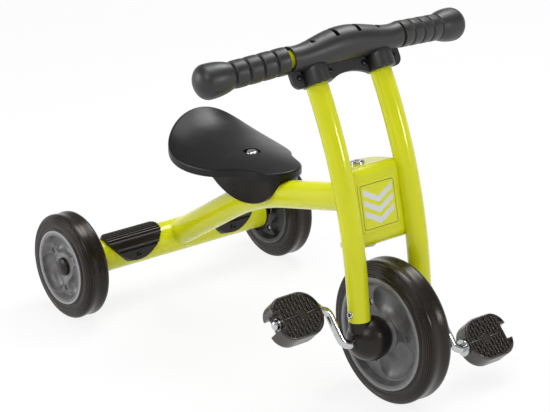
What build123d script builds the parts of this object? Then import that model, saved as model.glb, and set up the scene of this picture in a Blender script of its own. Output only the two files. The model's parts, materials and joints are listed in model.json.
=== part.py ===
"""Children's tricycle: bent steel tube frame, direct-drive front wheel, moulded seat, steps and pedals.

Millimetres. +X points forward, +Y to the rider's left, +Z up.
The origin is on the floor, under the middle of the tricycle's length and width.
"""
import os
from math import atan2, cos, radians, sin, sqrt, tan

from build123d import *

os.makedirs("parts", exist_ok=True)

# Wheels
FRONT_RADIUS = 100.0
FRONT_WIDTH = 45.0
FRONT_HUB_RADIUS = 79.0
REAR_RADIUS = 79.0
REAR_WIDTH = 41.0
REAR_HUB_RADIUS = 56.0
WHEELBASE = 500.0
HALF_TRACK = 191.0
TYRE_SHOULDER = 6.5
TYRE_STEP = 3.0
TYRE_CREST = 0.5
TYRE_VALLEY = 2.0
TYRE_VALLEY_HALF = 2.0
TYRE_BEAD_INSET = 1.2
RIM_LIP_HEIGHT = 5.0
RIM_LIP_WIDTH = 5.5
RIM_LIP_WALL = 7.0
DISH_DEPTH = 9.0
DISH_SLOPE = 5.0
SCOOP_COUNT = 3
SCOOP_DEPTH = 8.0
SCOOP_HALF_ANGLE = 26.0
FRONT_SCOOP_HALF_WIDTH = 19.5
REAR_SCOOP_HALF_WIDTH = 13.0
FRONT_SCOOP_ANGLE = 70.0
REAR_SCOOP_ANGLE = 92.0
FRONT_BOSS_RADIUS = 20.0
REAR_BOSS_RADIUS = 19.0
HUB_SCREW_DIAMETER = 5.0
HUB_SCREW_HEAD = 9.0
HUB_SCREW_HEAD_HEIGHT = 2.6
HUB_SCREW_SINK = 5.0
HUB_SCREW_END = 1.5

# Rear axle, its plugs and the wheel bushes
AXLE_DIAMETER = 12.0
BUSH_WALL = 3.0
RETAINER_DIAMETER = 20.0
RETAINER_THICKNESS = 2.0
AXLE_STUB = 1.6
CAP_DIAMETER = 27.0
CAP_HEIGHT = 8.5
CAP_DOME = 4.0
CAP_EDGE = 2.0
CAP_WALL = 2.2
CAP_SINK = 3.0
PLUG_DEPTH = 24.0
PLUG_FLANGE = 3.0
PLUG_BOSS_DIAMETER = 22.0
REAR_BUSH_OVERHANG = 3.5

# Frame tubes
CROSS_TUBE_DIAMETER = 50.0
CROSS_TUBE_WALL = 2.0
CROSS_TUBE_HALF_LENGTH = 157.0
BACKBONE_DIAMETER = 40.0
BACKBONE_WALL = 2.0
BACKBONE_REAR_SLOPE = 33.0
BACKBONE_FRONT_SLOPE = 15.0
BACKBONE_BEND_RADIUS = 450.0
BACKBONE_HEAD_RISE = 6.0

# Steering head
STEER_RAKE = 12.8
AXLE_LEAD = 27.5
HEAD_HEIGHT = 265.0
HEAD_TUBE_DIAMETER = 38.0
HEAD_TUBE_WALL = 4.0
HEAD_BUSH_FLANGE = 3.0
HEAD_BUSH_DEPTH = 16.0
HEAD_BOLT_DIAMETER = 12.0
HEAD_BOLT_HEAD = 20.0
HEAD_BOLT_HEAD_HEIGHT = 4.0
HEAD_BOLT_SOCKET = 8.0
HEAD_NUT_DIAMETER = 19.0
HEAD_NUT_HEIGHT = 6.0
BRACKET_HEIGHT = 108.0
BRACKET_THICKNESS = 4.0
BRACKET_BEND = 12.0
BRACKET_FRONT = 34.0
BRACKET_BACK = 21.5
BRACKET_BACK_CORNER = 22.0
BADGE_WIDTH = 66.0
BADGE_HEIGHT = 68.0
BADGE_THICKNESS = 0.8
BADGE_CORNER = 7.0

# Fork and handlebar
FORK_TUBE_DIAMETER = 30.0
FORK_TUBE_WALL = 2.5
FORK_HALF_SPACING = 55.0
LEG_START = 29.0
LEG_STRAIGHT = 46.0
LEG_LEAN = 7.0
FORK_BEND_RADIUS = 680.0
FORK_BEND_ANGLE = 23.5
FORK_TOP_RUN = 36.0
BAR_LEAD = 9.0
BAR_DIAMETER = 25.0
BAR_WALL = 2.0
BAR_SWEEP = 10.5
BAR_CORNER = 85.0
BAR_BEND_RADIUS = 100.0
BAR_END = 118.0
GRIP_DIAMETER = 33.5
GRIP_BANDS = 4
GRIP_PITCH = 20.6
GRIP_GROOVE = 2.6
GRIP_GROOVE_DEPTH = 2.0
GRIP_GAP = 3.0
BULB_RADIUS = 23.5
BULB_FLARE = 34.0
BULB_END = 17.5

# Handlebar cover
COVER_HALF_LENGTH = 93.0
COVER_END_RADIUS = 17.6
COVER_SHOULDER = 58.0
COVER_SHOULDER_RADIUS = 19.5
COVER_MIDDLE_RADIUS = 24.0
COVER_BULGE = 5.0
COVER_WALL = 3.0
SOCKET_WALL = 3.6
SOCKET_LENGTH = 40.0
FLANGE_THICKNESS = 6.0
FLANGE_CORNER = 12.0
FLANGE_ARCH = 8.0
FLANGE_ARCH_HALF = 33.0
COVER_SLOT_PITCH = 37.5
COVER_SLOT_WIDTH = 6.0
COVER_SLOT_LENGTH = 30.0
COVER_SLOT_COUNT = 4
COVER_SCREW_OFFSET = 26.0
COVER_SCREW_DROP = 26.0

# Axle housings and crank
HOUSING_RADIUS = 31.0
HOUSING_MIDDLE = 40.0
HOUSING_INNER = 20.5
HOUSING_OUTER = 70.5
SPIGOT_LENGTH = 26.0
CRANK_DIAMETER = 12.0
CRANK_RADIUS = 55.0
CRANK_ANGLE = 122.0
CRANK_BEND = 13.0
CRANK_BUSH_WALL = 3.0
CRANK_BUSH_FLANGE = 2.0
CRANK_BUSH_FLANGE_DIAMETER = 26.0
DRIVE_PIN_DIAMETER = 5.0
DRIVE_PIN_LENGTH = 44.0

# Pedals
PEDAL_INNER = 108.0
PEDAL_LENGTH = 75.5
PEDAL_HALF_WIDTH = 31.5
PEDAL_THICKNESS = 28.0
PEDAL_INNER_CORNER = 28.0
PEDAL_OUTER_CORNER = 23.0
PEDAL_EDGE = 2.5
PEDAL_RIM = 3.0
PEDAL_RECESS = 2.5
PEDAL_NOTCH_DEPTH = 11.0
PEDAL_NOTCH_WIDTH = 22.0
PEDAL_BOSS_DIAMETER = 13.0
PEDAL_BOSS_HEIGHT = 1.5
PEDAL_TILT = 45.0
COLLAR_DIAMETER = 24.0
COLLAR_THICKNESS = 3.0
PUSH_NUT_DIAMETER = 17.0
PUSH_NUT_HEIGHT = 9.0
PUSH_NUT_RIM = 1.5
PUSH_NUT_DOME = 3.0

# Seat, measured forward from the rear axle and up from the floor
SEAT_TAIL = 57.0
SEAT_TAIL_HEIGHT = 309.0
SEAT_TAIL_DROP = 45.0
SEAT_WIDEST = 129.0
SEAT_WIDEST_HEIGHT = 273.5
SEAT_WIDEST_DROP = 19.5
SEAT_HALF_WIDTH = 82.0
SEAT_DIP = 200.0
SEAT_DIP_HEIGHT = 268.8
SEAT_DIP_DROP = 18.5
SEAT_NECK = 208.0
SEAT_NECK_HALF_WIDTH = 60.5
SEAT_HORN = 251.0
SEAT_HORN_HEIGHT = 266.5
SEAT_HORN_DROP = 18.0
SEAT_HORN_HALF_WIDTH = 39.5
SEAT_NOSE = 281.5
SEAT_NOSE_HEIGHT = 263.5
SEAT_ROLL = 4.0
SEAT_THICKNESS = 6.0
SEAT_RIM = 11.0
SEAT_BOLT_AT = 192.0
SEAT_BOLT_DIAMETER = 8.0
SEAT_BOLT_HEAD = 17.0
SEAT_BOLT_HEAD_HEIGHT = 4.5
SEAT_RECESS = 25.0
SEAT_RECESS_FLOOR = 2.5
SEAT_BASE_HALF_WIDTH = 25.5
SEAT_BASE_WALL = 5.5
SEAT_BASE_REAR = 128.0
SEAT_BASE_REAR_HEIGHT = 218.5
SEAT_BASE_LOBE = 190.0
SEAT_BASE_LOBE_HEIGHT = 200.0
SEAT_BASE_RISE = 247.0
SEAT_BASE_RISE_HEIGHT = 213.0
SEAT_BASE_THROAT = 270.0
SEAT_BASE_THROAT_DROP = 13.0
SEAT_BASE_FRONT = 278.0
SEAT_BASE_FRONT_HEIGHT = 249.0
SEAT_SADDLE_LENGTH = 36.0
SEAT_WASHER_DIAMETER = 18.0
SEAT_WASHER_LIP = 1.5
SEAT_NUT_WIDTH = 13.0
SEAT_NUT_HEIGHT = 6.5

# Steps on the cross tube, measured from the tube's axis
STEP_CENTRE = 88.0
STEP_HALF_LENGTH = 48.5
STEP_SKIN = 3.6
STEP_TOP_ANGLE = 104.0
STEP_RIBS = 6
STEP_FIRST_RIB = 100.0
STEP_RIB_PITCH = 8.0
STEP_RIB_HALF = 1.6
STEP_RIB_DEPTH = 2.6
STEP_UPPER_RIDGE = 47.0
STEP_LOWER_RIDGE = 23.0
STEP_RIDGE_FOOT = 4.5
STEP_LEDGE_HEIGHT = 8.5
STEP_FRONT_THICKNESS = 4.0
STEP_BOTTOM = 9.0
STEP_CORNER = 9.0
STEP_SIDE = 8.0

# Screws
SCREW_DIAMETER = 4.0
SCREW_HEAD = 8.0
SCREW_HEAD_HEIGHT = 2.6
SCREW_GRIP = 6.0
LEG_SCREW_RISE = 11.0
LEG_SCREW_DEPTH = 9.0

# Fits
PRESS_GAP = 0.02
RUNNING_GAP = 0.06
SEAT_GAP = 0.1
SIDE_GAP = 0.4

SIDES = (("left", 1), ("right", -1))

# Places worked out from the sizes
overall_length = REAR_RADIUS + WHEELBASE + FRONT_RADIUS
rear_x = REAR_RADIUS - overall_length / 2
front_x = rear_x + WHEELBASE
rear_axle_at = Vector(rear_x, 0, REAR_RADIUS)
front_axle_at = Vector(front_x, 0, FRONT_RADIUS)

rake = radians(STEER_RAKE)
head_axis = Vector(-sin(rake), 0, cos(rake))
head_forward = Vector(cos(rake), 0, sin(rake))
head_x = front_x - AXLE_LEAD - (HEAD_HEIGHT - FRONT_RADIUS) * tan(rake)
head_at = Vector(head_x, 0, HEAD_HEIGHT)
head_plane = Plane(origin=head_at, x_dir=head_forward, z_dir=head_axis)
head_profile_plane = Plane(origin=head_at, x_dir=head_forward, z_dir=(0, -1, 0))
head_half = BRACKET_HEIGHT / 2 - BRACKET_THICKNESS - SIDE_GAP - HEAD_BUSH_FLANGE

lean = radians(LEG_LEAN)
top_lean = radians(LEG_LEAN + FORK_BEND_ANGLE)
leg_up = Vector(-sin(lean), 0, cos(lean))
fork_up = Vector(-sin(top_lean), 0, cos(top_lean))
fork_front = Vector(cos(top_lean), 0, sin(top_lean))
leg_end = front_axle_at + leg_up * (LEG_START + LEG_STRAIGHT)
bend_rise = Vector(cos(top_lean) - cos(lean), 0, sin(top_lean) - sin(lean)) * FORK_BEND_RADIUS
fork_top = leg_end + bend_rise + fork_up * FORK_TOP_RUN
bar_at = fork_top + fork_front * BAR_LEAD
sweep_angle = radians(BAR_SWEEP)

crank_turn = radians(CRANK_ANGLE)
crank_arm = Vector(cos(crank_turn), 0, sin(crank_turn)) * CRANK_RADIUS


def save(piece, name):
    """Label a finished piece and write it to its own STEP file."""
    piece.part.label = name
    export_step(piece.part, f"parts/{name}.step")


def across(point, y):
    """The point moved to the given distance from the middle plane."""
    return Vector(point.X, y, point.Z)


def wheel_plane(centre, side):
    """Section plane through an axle: local x runs outward along the axle, local y is the radius."""
    return Plane(origin=centre, x_dir=(0, side, 0), z_dir=(side, 0, 0))


def axle_axis(centre):
    """The line along Y through a wheel centre."""
    return Axis(centre, (0, 1, 0))


def tube_along(plane, outer, inner, half_length):
    """A straight tube or rod centred on a plane, along the plane's normal."""
    with BuildPart() as tube:
        with BuildSketch(plane):
            Circle(outer)
            if inner > 0:
                Circle(inner, mode=Mode.SUBTRACT)
        extrude(amount=half_length, both=True)
    return tube


def fork_rod(y, radius):
    """A solid rod that follows the centreline of a fork tube, used to cut what the tube passes through."""
    with BuildPart() as rod:
        with BuildLine(Plane.XZ.offset(-y)) as path:
            leg = Line(across(front_axle_at + leg_up * LEG_START, y), across(leg_end, y))
            bend = JernArc(leg @ 1, leg % 1, FORK_BEND_RADIUS, FORK_BEND_ANGLE)
            Line(bend @ 1, bend @ 1 + fork_up * FORK_TOP_RUN)
        with BuildSketch(Plane(origin=path.line @ 0, z_dir=path.line % 0)):
            Circle(radius)
        sweep()
    return rod.part


def backbone_rod(radius):
    """A solid rod along the backbone's centreline, from the cross tube's axis to the steering axis."""
    with BuildPart() as rod:
        with BuildLine() as path:
            FilletPolyline(rear_axle_at, backbone_corner, backbone_head, radius=BACKBONE_BEND_RADIUS)
        with BuildSketch(Plane(origin=path.line @ 0, z_dir=path.line % 0)):
            Circle(radius)
        sweep()
    return rod.part


# Tyres and hubs
def make_tyre(name, centre, outer, width, hub_radius):
    """A solid rubber tyre whose bore grips the rim channel, with stepped shoulders and a valley in its tread."""
    half = width / 2
    channel = half - RIM_LIP_WIDTH - PRESS_GAP
    seat = hub_radius - RIM_LIP_HEIGHT + PRESS_GAP
    lip = hub_radius + PRESS_GAP
    shoulder = outer - TYRE_SHOULDER
    with BuildPart() as tyre:
        with BuildSketch(wheel_plane(centre, 1)):
            with BuildLine():
                Polyline((0, seat), (channel, seat), (channel, lip), (half - TYRE_BEAD_INSET, lip))
                ThreePointArc((half - TYRE_BEAD_INSET, lip), (half, (lip + shoulder) / 2),
                              (half - TYRE_BEAD_INSET, shoulder))
                Line((half - TYRE_BEAD_INSET, shoulder), (half - TYRE_STEP, shoulder))
                tread = outer - TYRE_SHOULDER / 2
                Line((half - TYRE_STEP, shoulder), (half - TYRE_STEP, tread))
                crest = (half * TYRE_CREST, outer)
                valley = outer - TYRE_VALLEY
                TangentArc(crest, (half - TYRE_STEP, tread), tangent=(1, 0))
                TangentArc(crest, (TYRE_VALLEY_HALF, valley), tangent=(-1, 0))
                Polyline((TYRE_VALLEY_HALF, valley), (0, valley), (0, seat))
            make_face()
            mirror(about=Plane.YZ)
        revolve(axis=axle_axis(centre))
    save(tyre, name)


def make_hub_half(name, centre, side, size):
    """Half of a two-part dished hub, from the wheel's middle plane outward on the given side."""
    half, hub_radius = size["width"] / 2, size["hub"]
    lip_face = half + PRESS_GAP
    web = lip_face - DISH_DEPTH
    seat = hub_radius - RIM_LIP_HEIGHT
    dish_edge = hub_radius - RIM_LIP_WALL
    middle = (dish_edge + size["boss"]) / 2
    reach = size["scoop_half_width"]
    plane = wheel_plane(centre, side)
    with BuildPart() as hub:
        with BuildSketch(plane):
            with BuildLine():
                Polyline((0, size["bore"]), (size["boss_face"], size["bore"]),
                         (size["boss_face"], size["boss"]), (web, size["boss"] + DISH_SLOPE),
                         (web, dish_edge - DISH_SLOPE), (lip_face, dish_edge), (lip_face, hub_radius),
                         (half - RIM_LIP_WIDTH, hub_radius), (half - RIM_LIP_WIDTH, seat), (0, seat),
                         close=True)
            make_face()
        revolve(axis=axle_axis(centre))
        ball = (reach ** 2 + SCOOP_DEPTH ** 2) / (2 * SCOOP_DEPTH)
        ball_out = web - SCOOP_DEPTH + ball
        for index in range(SCOOP_COUNT):
            turn = size["scoop_angle"] + 360 * index / SCOOP_COUNT
            start = radians(turn + SCOOP_HALF_ANGLE)
            start_plane = Plane(origin=centre, x_dir=(0, side, 0),
                                z_dir=(side * sin(start), 0, -side * cos(start)))
            with BuildSketch(start_plane):
                with Locations((ball_out, middle)):
                    Circle(ball)
            revolve(axis=axle_axis(centre), revolution_arc=2 * SCOOP_HALF_ANGLE, mode=Mode.SUBTRACT)
            for end in (-SCOOP_HALF_ANGLE, SCOOP_HALF_ANGLE):
                angle = radians(turn + end)
                spot = Vector(middle * cos(angle), side * ball_out, middle * sin(angle))
                with Locations(centre + spot):
                    Sphere(ball, mode=Mode.SUBTRACT)
            screw_angle = radians(turn + 180 / SCOOP_COUNT)
            spot = Vector(middle * cos(screw_angle), 0, middle * sin(screw_angle))
            with BuildSketch(Plane(origin=centre + spot, z_dir=(0, side, 0))):
                Circle(HUB_SCREW_DIAMETER / 2 + SEAT_GAP)
            extrude(amount=half, mode=Mode.SUBTRACT)
            with BuildSketch(Plane(origin=centre + spot, z_dir=(0, side, 0)).offset(web - HUB_SCREW_SINK)):
                Circle(HUB_SCREW_HEAD / 2 + SEAT_GAP)
            extrude(amount=half, mode=Mode.SUBTRACT)
        for cut in size["cuts"]:
            add(cut, mode=Mode.SUBTRACT)
    save(hub, name)


def make_hub_screws(name, centre, side, size):
    """The screws that hold the two halves of a hub together, as one group."""
    web = size["width"] / 2 + PRESS_GAP - DISH_DEPTH
    middle = (size["hub"] - RIM_LIP_WALL + size["boss"]) / 2
    head_base = web - HUB_SCREW_SINK
    with BuildPart() as screws:
        for index in range(SCOOP_COUNT):
            turn = radians(size["scoop_angle"] + 360 * (index + 0.5) / SCOOP_COUNT)
            spot = centre + Vector(middle * cos(turn), 0, middle * sin(turn))
            plane = Plane(origin=spot, z_dir=(0, side, 0))
            with BuildSketch(plane.offset(HUB_SCREW_END - web)):
                Circle(HUB_SCREW_DIAMETER / 2)
            extrude(amount=head_base - HUB_SCREW_END + web)
            with BuildSketch(plane.offset(head_base)):
                Circle(HUB_SCREW_HEAD / 2)
            extrude(amount=HUB_SCREW_HEAD_HEIGHT)
    save(screws, name)


rear_web = REAR_WIDTH / 2 + PRESS_GAP - DISH_DEPTH
rear_bush_radius = AXLE_DIAMETER / 2 + RUNNING_GAP + BUSH_WALL
front_size = {"width": FRONT_WIDTH, "hub": FRONT_HUB_RADIUS, "boss": FRONT_BOSS_RADIUS,
              "bore": CRANK_DIAMETER / 2 + PRESS_GAP, "scoop_angle": FRONT_SCOOP_ANGLE,
              "scoop_half_width": FRONT_SCOOP_HALF_WIDTH,
              "boss_face": HOUSING_INNER - CRANK_BUSH_FLANGE - SIDE_GAP}
rear_size = {"width": REAR_WIDTH, "hub": REAR_HUB_RADIUS, "boss": REAR_BOSS_RADIUS,
             "bore": rear_bush_radius + PRESS_GAP, "scoop_angle": REAR_SCOOP_ANGLE,
             "scoop_half_width": REAR_SCOOP_HALF_WIDTH, "boss_face": rear_web + PRESS_GAP}

pin_dir = Vector(cos(crank_turn), 0, sin(crank_turn))
pin_plane = Plane(origin=front_axle_at, z_dir=pin_dir)
drive_pin_hole = tube_along(pin_plane, DRIVE_PIN_DIAMETER / 2 + PRESS_GAP, 0, DRIVE_PIN_LENGTH / 2 + SEAT_GAP)

make_tyre("front_tyre", front_axle_at, FRONT_RADIUS, FRONT_WIDTH, FRONT_HUB_RADIUS)
for name, side in SIDES:
    make_hub_half(f"front_hub_{name}", front_axle_at, side, {**front_size, "cuts": [drive_pin_hole.part]})
make_hub_screws("front_hub_screws", front_axle_at, -1, front_size)

for name, side in SIDES:
    rear_centre = across(rear_axle_at, side * HALF_TRACK)
    make_tyre(f"rear_tyre_{name}", rear_centre, REAR_RADIUS, REAR_WIDTH, REAR_HUB_RADIUS)
    cap_plane = Plane(origin=rear_centre, z_dir=(0, side, 0))
    cap_seat = tube_along(cap_plane.offset(rear_web), CAP_DIAMETER / 2 + PRESS_GAP, 0, CAP_SINK)
    outer_size = {**rear_size, "cuts": [cap_seat.part]}
    make_hub_half(f"rear_hub_outer_{name}", rear_centre, side, outer_size)
    make_hub_half(f"rear_hub_inner_{name}", rear_centre, -side, {**rear_size, "cuts": []})
    make_hub_screws(f"rear_hub_screws_{name}", rear_centre, side, rear_size)

    bush_outer = rear_web - CAP_SINK
    bush_inner = rear_web + REAR_BUSH_OVERHANG
    with BuildPart() as rear_bush:
        with BuildSketch(cap_plane.offset(-bush_inner)):
            Circle(rear_bush_radius)
            Circle(AXLE_DIAMETER / 2 + RUNNING_GAP, mode=Mode.SUBTRACT)
        extrude(amount=bush_inner + bush_outer)
    save(rear_bush, f"rear_bush_{name}")

    with BuildPart() as cap:
        cap_base = rear_web - CAP_SINK
        cap_rim = rear_web + CAP_HEIGHT - CAP_DOME
        cap_radius = CAP_DIAMETER / 2
        dome_radius = (cap_radius ** 2 + CAP_DOME ** 2) / (2 * CAP_DOME)
        with BuildSketch(cap_plane.offset(cap_base)):
            Circle(cap_radius)
        extrude(amount=CAP_HEIGHT + CAP_SINK)
        with Locations(rear_centre + Vector(0, side, 0) * (cap_rim + CAP_DOME - dome_radius)):
            Sphere(dome_radius, mode=Mode.INTERSECT)
        rim_edge = edges().filter_by(GeomType.CIRCLE).sort_by(Axis(rear_centre, (0, side, 0)))[-1]
        fillet(rim_edge, CAP_EDGE)
        with BuildSketch(cap_plane.offset(cap_base)):
            Circle(cap_radius - CAP_WALL)
        extrude(amount=CAP_HEIGHT + CAP_SINK - CAP_DOME - CAP_WALL / 2, mode=Mode.SUBTRACT)
    save(cap, f"rear_cap_{name}")

# Rear axle, its retaining rings and the plugs that carry it in the cross tube
retainer_at = HALF_TRACK + rear_web - CAP_SINK + SIDE_GAP
axle_half = retainer_at + RETAINER_THICKNESS + AXLE_STUB
rear_cross_plane = Plane(origin=rear_axle_at, x_dir=(1, 0, 0), z_dir=(0, -1, 0))
rear_axle = tube_along(rear_cross_plane, AXLE_DIAMETER / 2, 0, axle_half)
save(rear_axle, "rear_axle")

with BuildPart() as rear_retainers:
    for name, side in SIDES:
        with BuildSketch(Plane(origin=across(rear_axle_at, side * retainer_at), z_dir=(0, side, 0))):
            Circle(RETAINER_DIAMETER / 2)
            Circle(AXLE_DIAMETER / 2 + PRESS_GAP, mode=Mode.SUBTRACT)
        extrude(amount=RETAINER_THICKNESS)
save(rear_retainers, "rear_retainers")

plug_end = HALF_TRACK - rear_web - REAR_BUSH_OVERHANG - SIDE_GAP
for name, side in SIDES:
    tube_end = Plane(origin=across(rear_axle_at, side * CROSS_TUBE_HALF_LENGTH), z_dir=(0, side, 0))
    with BuildPart() as plug:
        with BuildSketch(tube_end.offset(-PLUG_DEPTH)):
            Circle(CROSS_TUBE_DIAMETER / 2 - CROSS_TUBE_WALL - PRESS_GAP)
        extrude(amount=PLUG_DEPTH)
        with BuildSketch(tube_end):
            Circle(CROSS_TUBE_DIAMETER / 2)
        extrude(amount=PLUG_FLANGE)
        with BuildSketch(tube_end.offset(PLUG_FLANGE)):
            Circle(PLUG_BOSS_DIAMETER / 2)
        extrude(amount=plug_end - CROSS_TUBE_HALF_LENGTH - PLUG_FLANGE)
        with BuildSketch(tube_end.offset(-PLUG_DEPTH)):
            Circle(AXLE_DIAMETER / 2 + PRESS_GAP)
        extrude(amount=plug_end, mode=Mode.SUBTRACT)
    save(plug, f"axle_plug_{name}")

# Cross tube and backbone
with BuildPart() as cross_tube:
    with BuildSketch(rear_cross_plane):
        Circle(CROSS_TUBE_DIAMETER / 2)
        Circle(CROSS_TUBE_DIAMETER / 2 - CROSS_TUBE_WALL, mode=Mode.SUBTRACT)
    extrude(amount=CROSS_TUBE_HALF_LENGTH, both=True)
    for name, side in SIDES:
        with BuildSketch(Plane(origin=across(rear_axle_at, side * STEP_CENTRE), z_dir=(1, 0, 0))):
            Circle(SCREW_DIAMETER / 2 + SEAT_GAP)
        extrude(amount=CROSS_TUBE_DIAMETER, mode=Mode.SUBTRACT)
save(cross_tube, "cross_tube")

head_joint_z = HEAD_HEIGHT + BACKBONE_HEAD_RISE
backbone_head = Vector(head_x - BACKBONE_HEAD_RISE * tan(rake), 0, head_joint_z)
rear_rise = tan(radians(BACKBONE_REAR_SLOPE))
front_rise = tan(radians(BACKBONE_FRONT_SLOPE))
front_run = backbone_head.X - rear_x
corner_x = (head_joint_z - REAR_RADIUS - front_rise * front_run) / (rear_rise - front_rise)
backbone_corner = Vector(rear_x + corner_x, 0, REAR_RADIUS + rear_rise * corner_x)


# The backbone's bend, and the point on it that the seat bolt passes through
half_bend = radians(BACKBONE_REAR_SLOPE - BACKBONE_FRONT_SLOPE) / 2
middle_slope = radians(BACKBONE_REAR_SLOPE + BACKBONE_FRONT_SLOPE) / 2
bend_reach = BACKBONE_BEND_RADIUS / cos(half_bend)
bend_centre = backbone_corner + Vector(sin(middle_slope), 0, -cos(middle_slope)) * bend_reach
seat_bolt_at = Vector(rear_x + SEAT_BOLT_AT, 0, 0)
bolt_from_centre = seat_bolt_at.X - bend_centre.X
bolt_rise = sqrt(BACKBONE_BEND_RADIUS ** 2 - bolt_from_centre ** 2)
bolt_on_tube = Vector(seat_bolt_at.X, 0, bend_centre.Z + bolt_rise)
bolt_slope = atan2(-bolt_from_centre, bolt_rise)

with BuildPart() as backbone:
    add(backbone_rod(BACKBONE_DIAMETER / 2))
    add(backbone_rod(BACKBONE_DIAMETER / 2 - BACKBONE_WALL), mode=Mode.SUBTRACT)
    add(tube_along(rear_cross_plane, CROSS_TUBE_DIAMETER / 2, 0, CROSS_TUBE_DIAMETER).part, mode=Mode.SUBTRACT)
    add(tube_along(head_plane, HEAD_TUBE_DIAMETER / 2, 0, BRACKET_HEIGHT).part, mode=Mode.SUBTRACT)
    with BuildSketch(Plane(origin=bolt_on_tube)):
        Circle(SEAT_BOLT_DIAMETER / 2 + SEAT_GAP)
    extrude(amount=BACKBONE_DIAMETER, mode=Mode.SUBTRACT)
save(backbone, "backbone_tube")

# Steering head
head_tube = tube_along(head_plane, HEAD_TUBE_DIAMETER / 2, HEAD_TUBE_DIAMETER / 2 - HEAD_TUBE_WALL, head_half)
save(head_tube, "head_tube")

for name, up in (("upper", 1), ("lower", -1)):
    bush_plane = Plane(origin=head_at + head_axis * (up * head_half), x_dir=head_forward, z_dir=head_axis * up)
    with BuildPart() as head_bush:
        with BuildSketch(bush_plane):
            Circle(HEAD_TUBE_DIAMETER / 2)
        extrude(amount=HEAD_BUSH_FLANGE)
        with BuildSketch(bush_plane):
            Circle(HEAD_TUBE_DIAMETER / 2 - HEAD_TUBE_WALL - PRESS_GAP)
        extrude(amount=-HEAD_BUSH_DEPTH)
        with BuildSketch(bush_plane.offset(-HEAD_BUSH_DEPTH)):
            Circle(HEAD_BOLT_DIAMETER / 2 + RUNNING_GAP)
        extrude(amount=HEAD_BUSH_DEPTH + HEAD_BUSH_FLANGE, mode=Mode.SUBTRACT)
    save(head_bush, f"head_bush_{name}")

with BuildPart() as bracket:
    half_height = BRACKET_HEIGHT / 2
    with BuildSketch(head_profile_plane):
        with Locations(((BRACKET_FRONT - BRACKET_BACK) / 2, 0)):
            Rectangle(BRACKET_FRONT + BRACKET_BACK, BRACKET_HEIGHT)
        fillet(vertices().group_by(Axis.X)[-1], BRACKET_BEND)
        inner_width = 2 * (BRACKET_FRONT + BRACKET_BACK)
        with Locations((BRACKET_FRONT - BRACKET_THICKNESS - inner_width / 2, 0)):
            RectangleRounded(inner_width, BRACKET_HEIGHT - 2 * BRACKET_THICKNESS,
                             BRACKET_BEND - BRACKET_THICKNESS, mode=Mode.SUBTRACT)
    extrude(amount=FORK_HALF_SPACING, both=True)
    with BuildSketch(head_plane):
        with Locations(((BRACKET_FRONT - BRACKET_BACK) / 2, 0)):
            Rectangle(BRACKET_FRONT + BRACKET_BACK, 2 * FORK_HALF_SPACING - FORK_TUBE_DIAMETER * 0.9)
        fillet(vertices().group_by(Axis.X)[0], BRACKET_BACK_CORNER)
    extrude(amount=BRACKET_HEIGHT, both=True, mode=Mode.INTERSECT)
    with BuildSketch(head_plane):
        Circle(HEAD_BOLT_DIAMETER / 2 + SEAT_GAP)
    extrude(amount=BRACKET_HEIGHT, both=True, mode=Mode.SUBTRACT)
    for name, side in SIDES:
        add(fork_rod(side * FORK_HALF_SPACING, FORK_TUBE_DIAMETER / 2), mode=Mode.SUBTRACT)
save(bracket, "head_bracket")

with BuildPart() as badge:
    face = Plane(origin=head_at + head_forward * BRACKET_FRONT, x_dir=(0, 1, 0), z_dir=head_forward)
    with BuildSketch(face):
        RectangleRounded(BADGE_WIDTH, BADGE_HEIGHT, BADGE_CORNER)
    extrude(amount=BADGE_THICKNESS)
save(badge, "badge_plate")

with BuildPart() as head_bolt:
    bolt_top = head_plane.offset(BRACKET_HEIGHT / 2)
    with BuildSketch(bolt_top.offset(-BRACKET_HEIGHT - HEAD_NUT_HEIGHT)):
        Circle(HEAD_BOLT_DIAMETER / 2)
    extrude(amount=BRACKET_HEIGHT + HEAD_NUT_HEIGHT)
    with BuildSketch(bolt_top):
        Circle(HEAD_BOLT_HEAD / 2)
    extrude(amount=HEAD_BOLT_HEAD_HEIGHT)
    crown = edges().filter_by(GeomType.CIRCLE).sort_by(SortBy.RADIUS)[-2:].sort_by(Axis.Z)[-1]
    fillet(crown, HEAD_BOLT_HEAD_HEIGHT * 0.6)
    with BuildSketch(bolt_top.offset(HEAD_BOLT_HEAD_HEIGHT)):
        RegularPolygon(HEAD_BOLT_SOCKET / 2, 6)
    extrude(amount=-HEAD_BOLT_HEAD_HEIGHT * 0.6, mode=Mode.SUBTRACT)
save(head_bolt, "head_bolt")

with BuildPart() as head_nut:
    with BuildSketch(head_plane.offset(-BRACKET_HEIGHT / 2)):
        RegularPolygon(HEAD_NUT_DIAMETER / 2, 6, major_radius=False)
        Circle(HEAD_BOLT_DIAMETER / 2 + PRESS_GAP, mode=Mode.SUBTRACT)
    extrude(amount=-HEAD_NUT_HEIGHT)
save(head_nut, "head_nut")

# Fork tubes and handlebar tube
bar_path_plane = Plane(origin=bar_at, x_dir=(0, 1, 0), z_dir=fork_up)
bar_cross_plane = Plane(origin=bar_at, z_dir=(0, 1, 0))
leg_screw_at = LEG_START + LEG_SCREW_RISE
for name, side in SIDES:
    tube_y = side * FORK_HALF_SPACING
    with BuildPart() as fork_tube:
        add(fork_rod(tube_y, FORK_TUBE_DIAMETER / 2))
        add(fork_rod(tube_y, FORK_TUBE_DIAMETER / 2 - FORK_TUBE_WALL), mode=Mode.SUBTRACT)
        add(tube_along(bar_cross_plane, BAR_DIAMETER / 2, 0, BAR_CORNER).part, mode=Mode.SUBTRACT)
        screw_plane = Plane(origin=across(front_axle_at + leg_up * leg_screw_at, tube_y), z_dir=(0, side, 0))
        with BuildSketch(screw_plane):
            Circle(SCREW_DIAMETER / 2 + SEAT_GAP)
        extrude(amount=FORK_TUBE_DIAMETER, mode=Mode.SUBTRACT)
    save(fork_tube, f"fork_tube_{name}")

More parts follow.
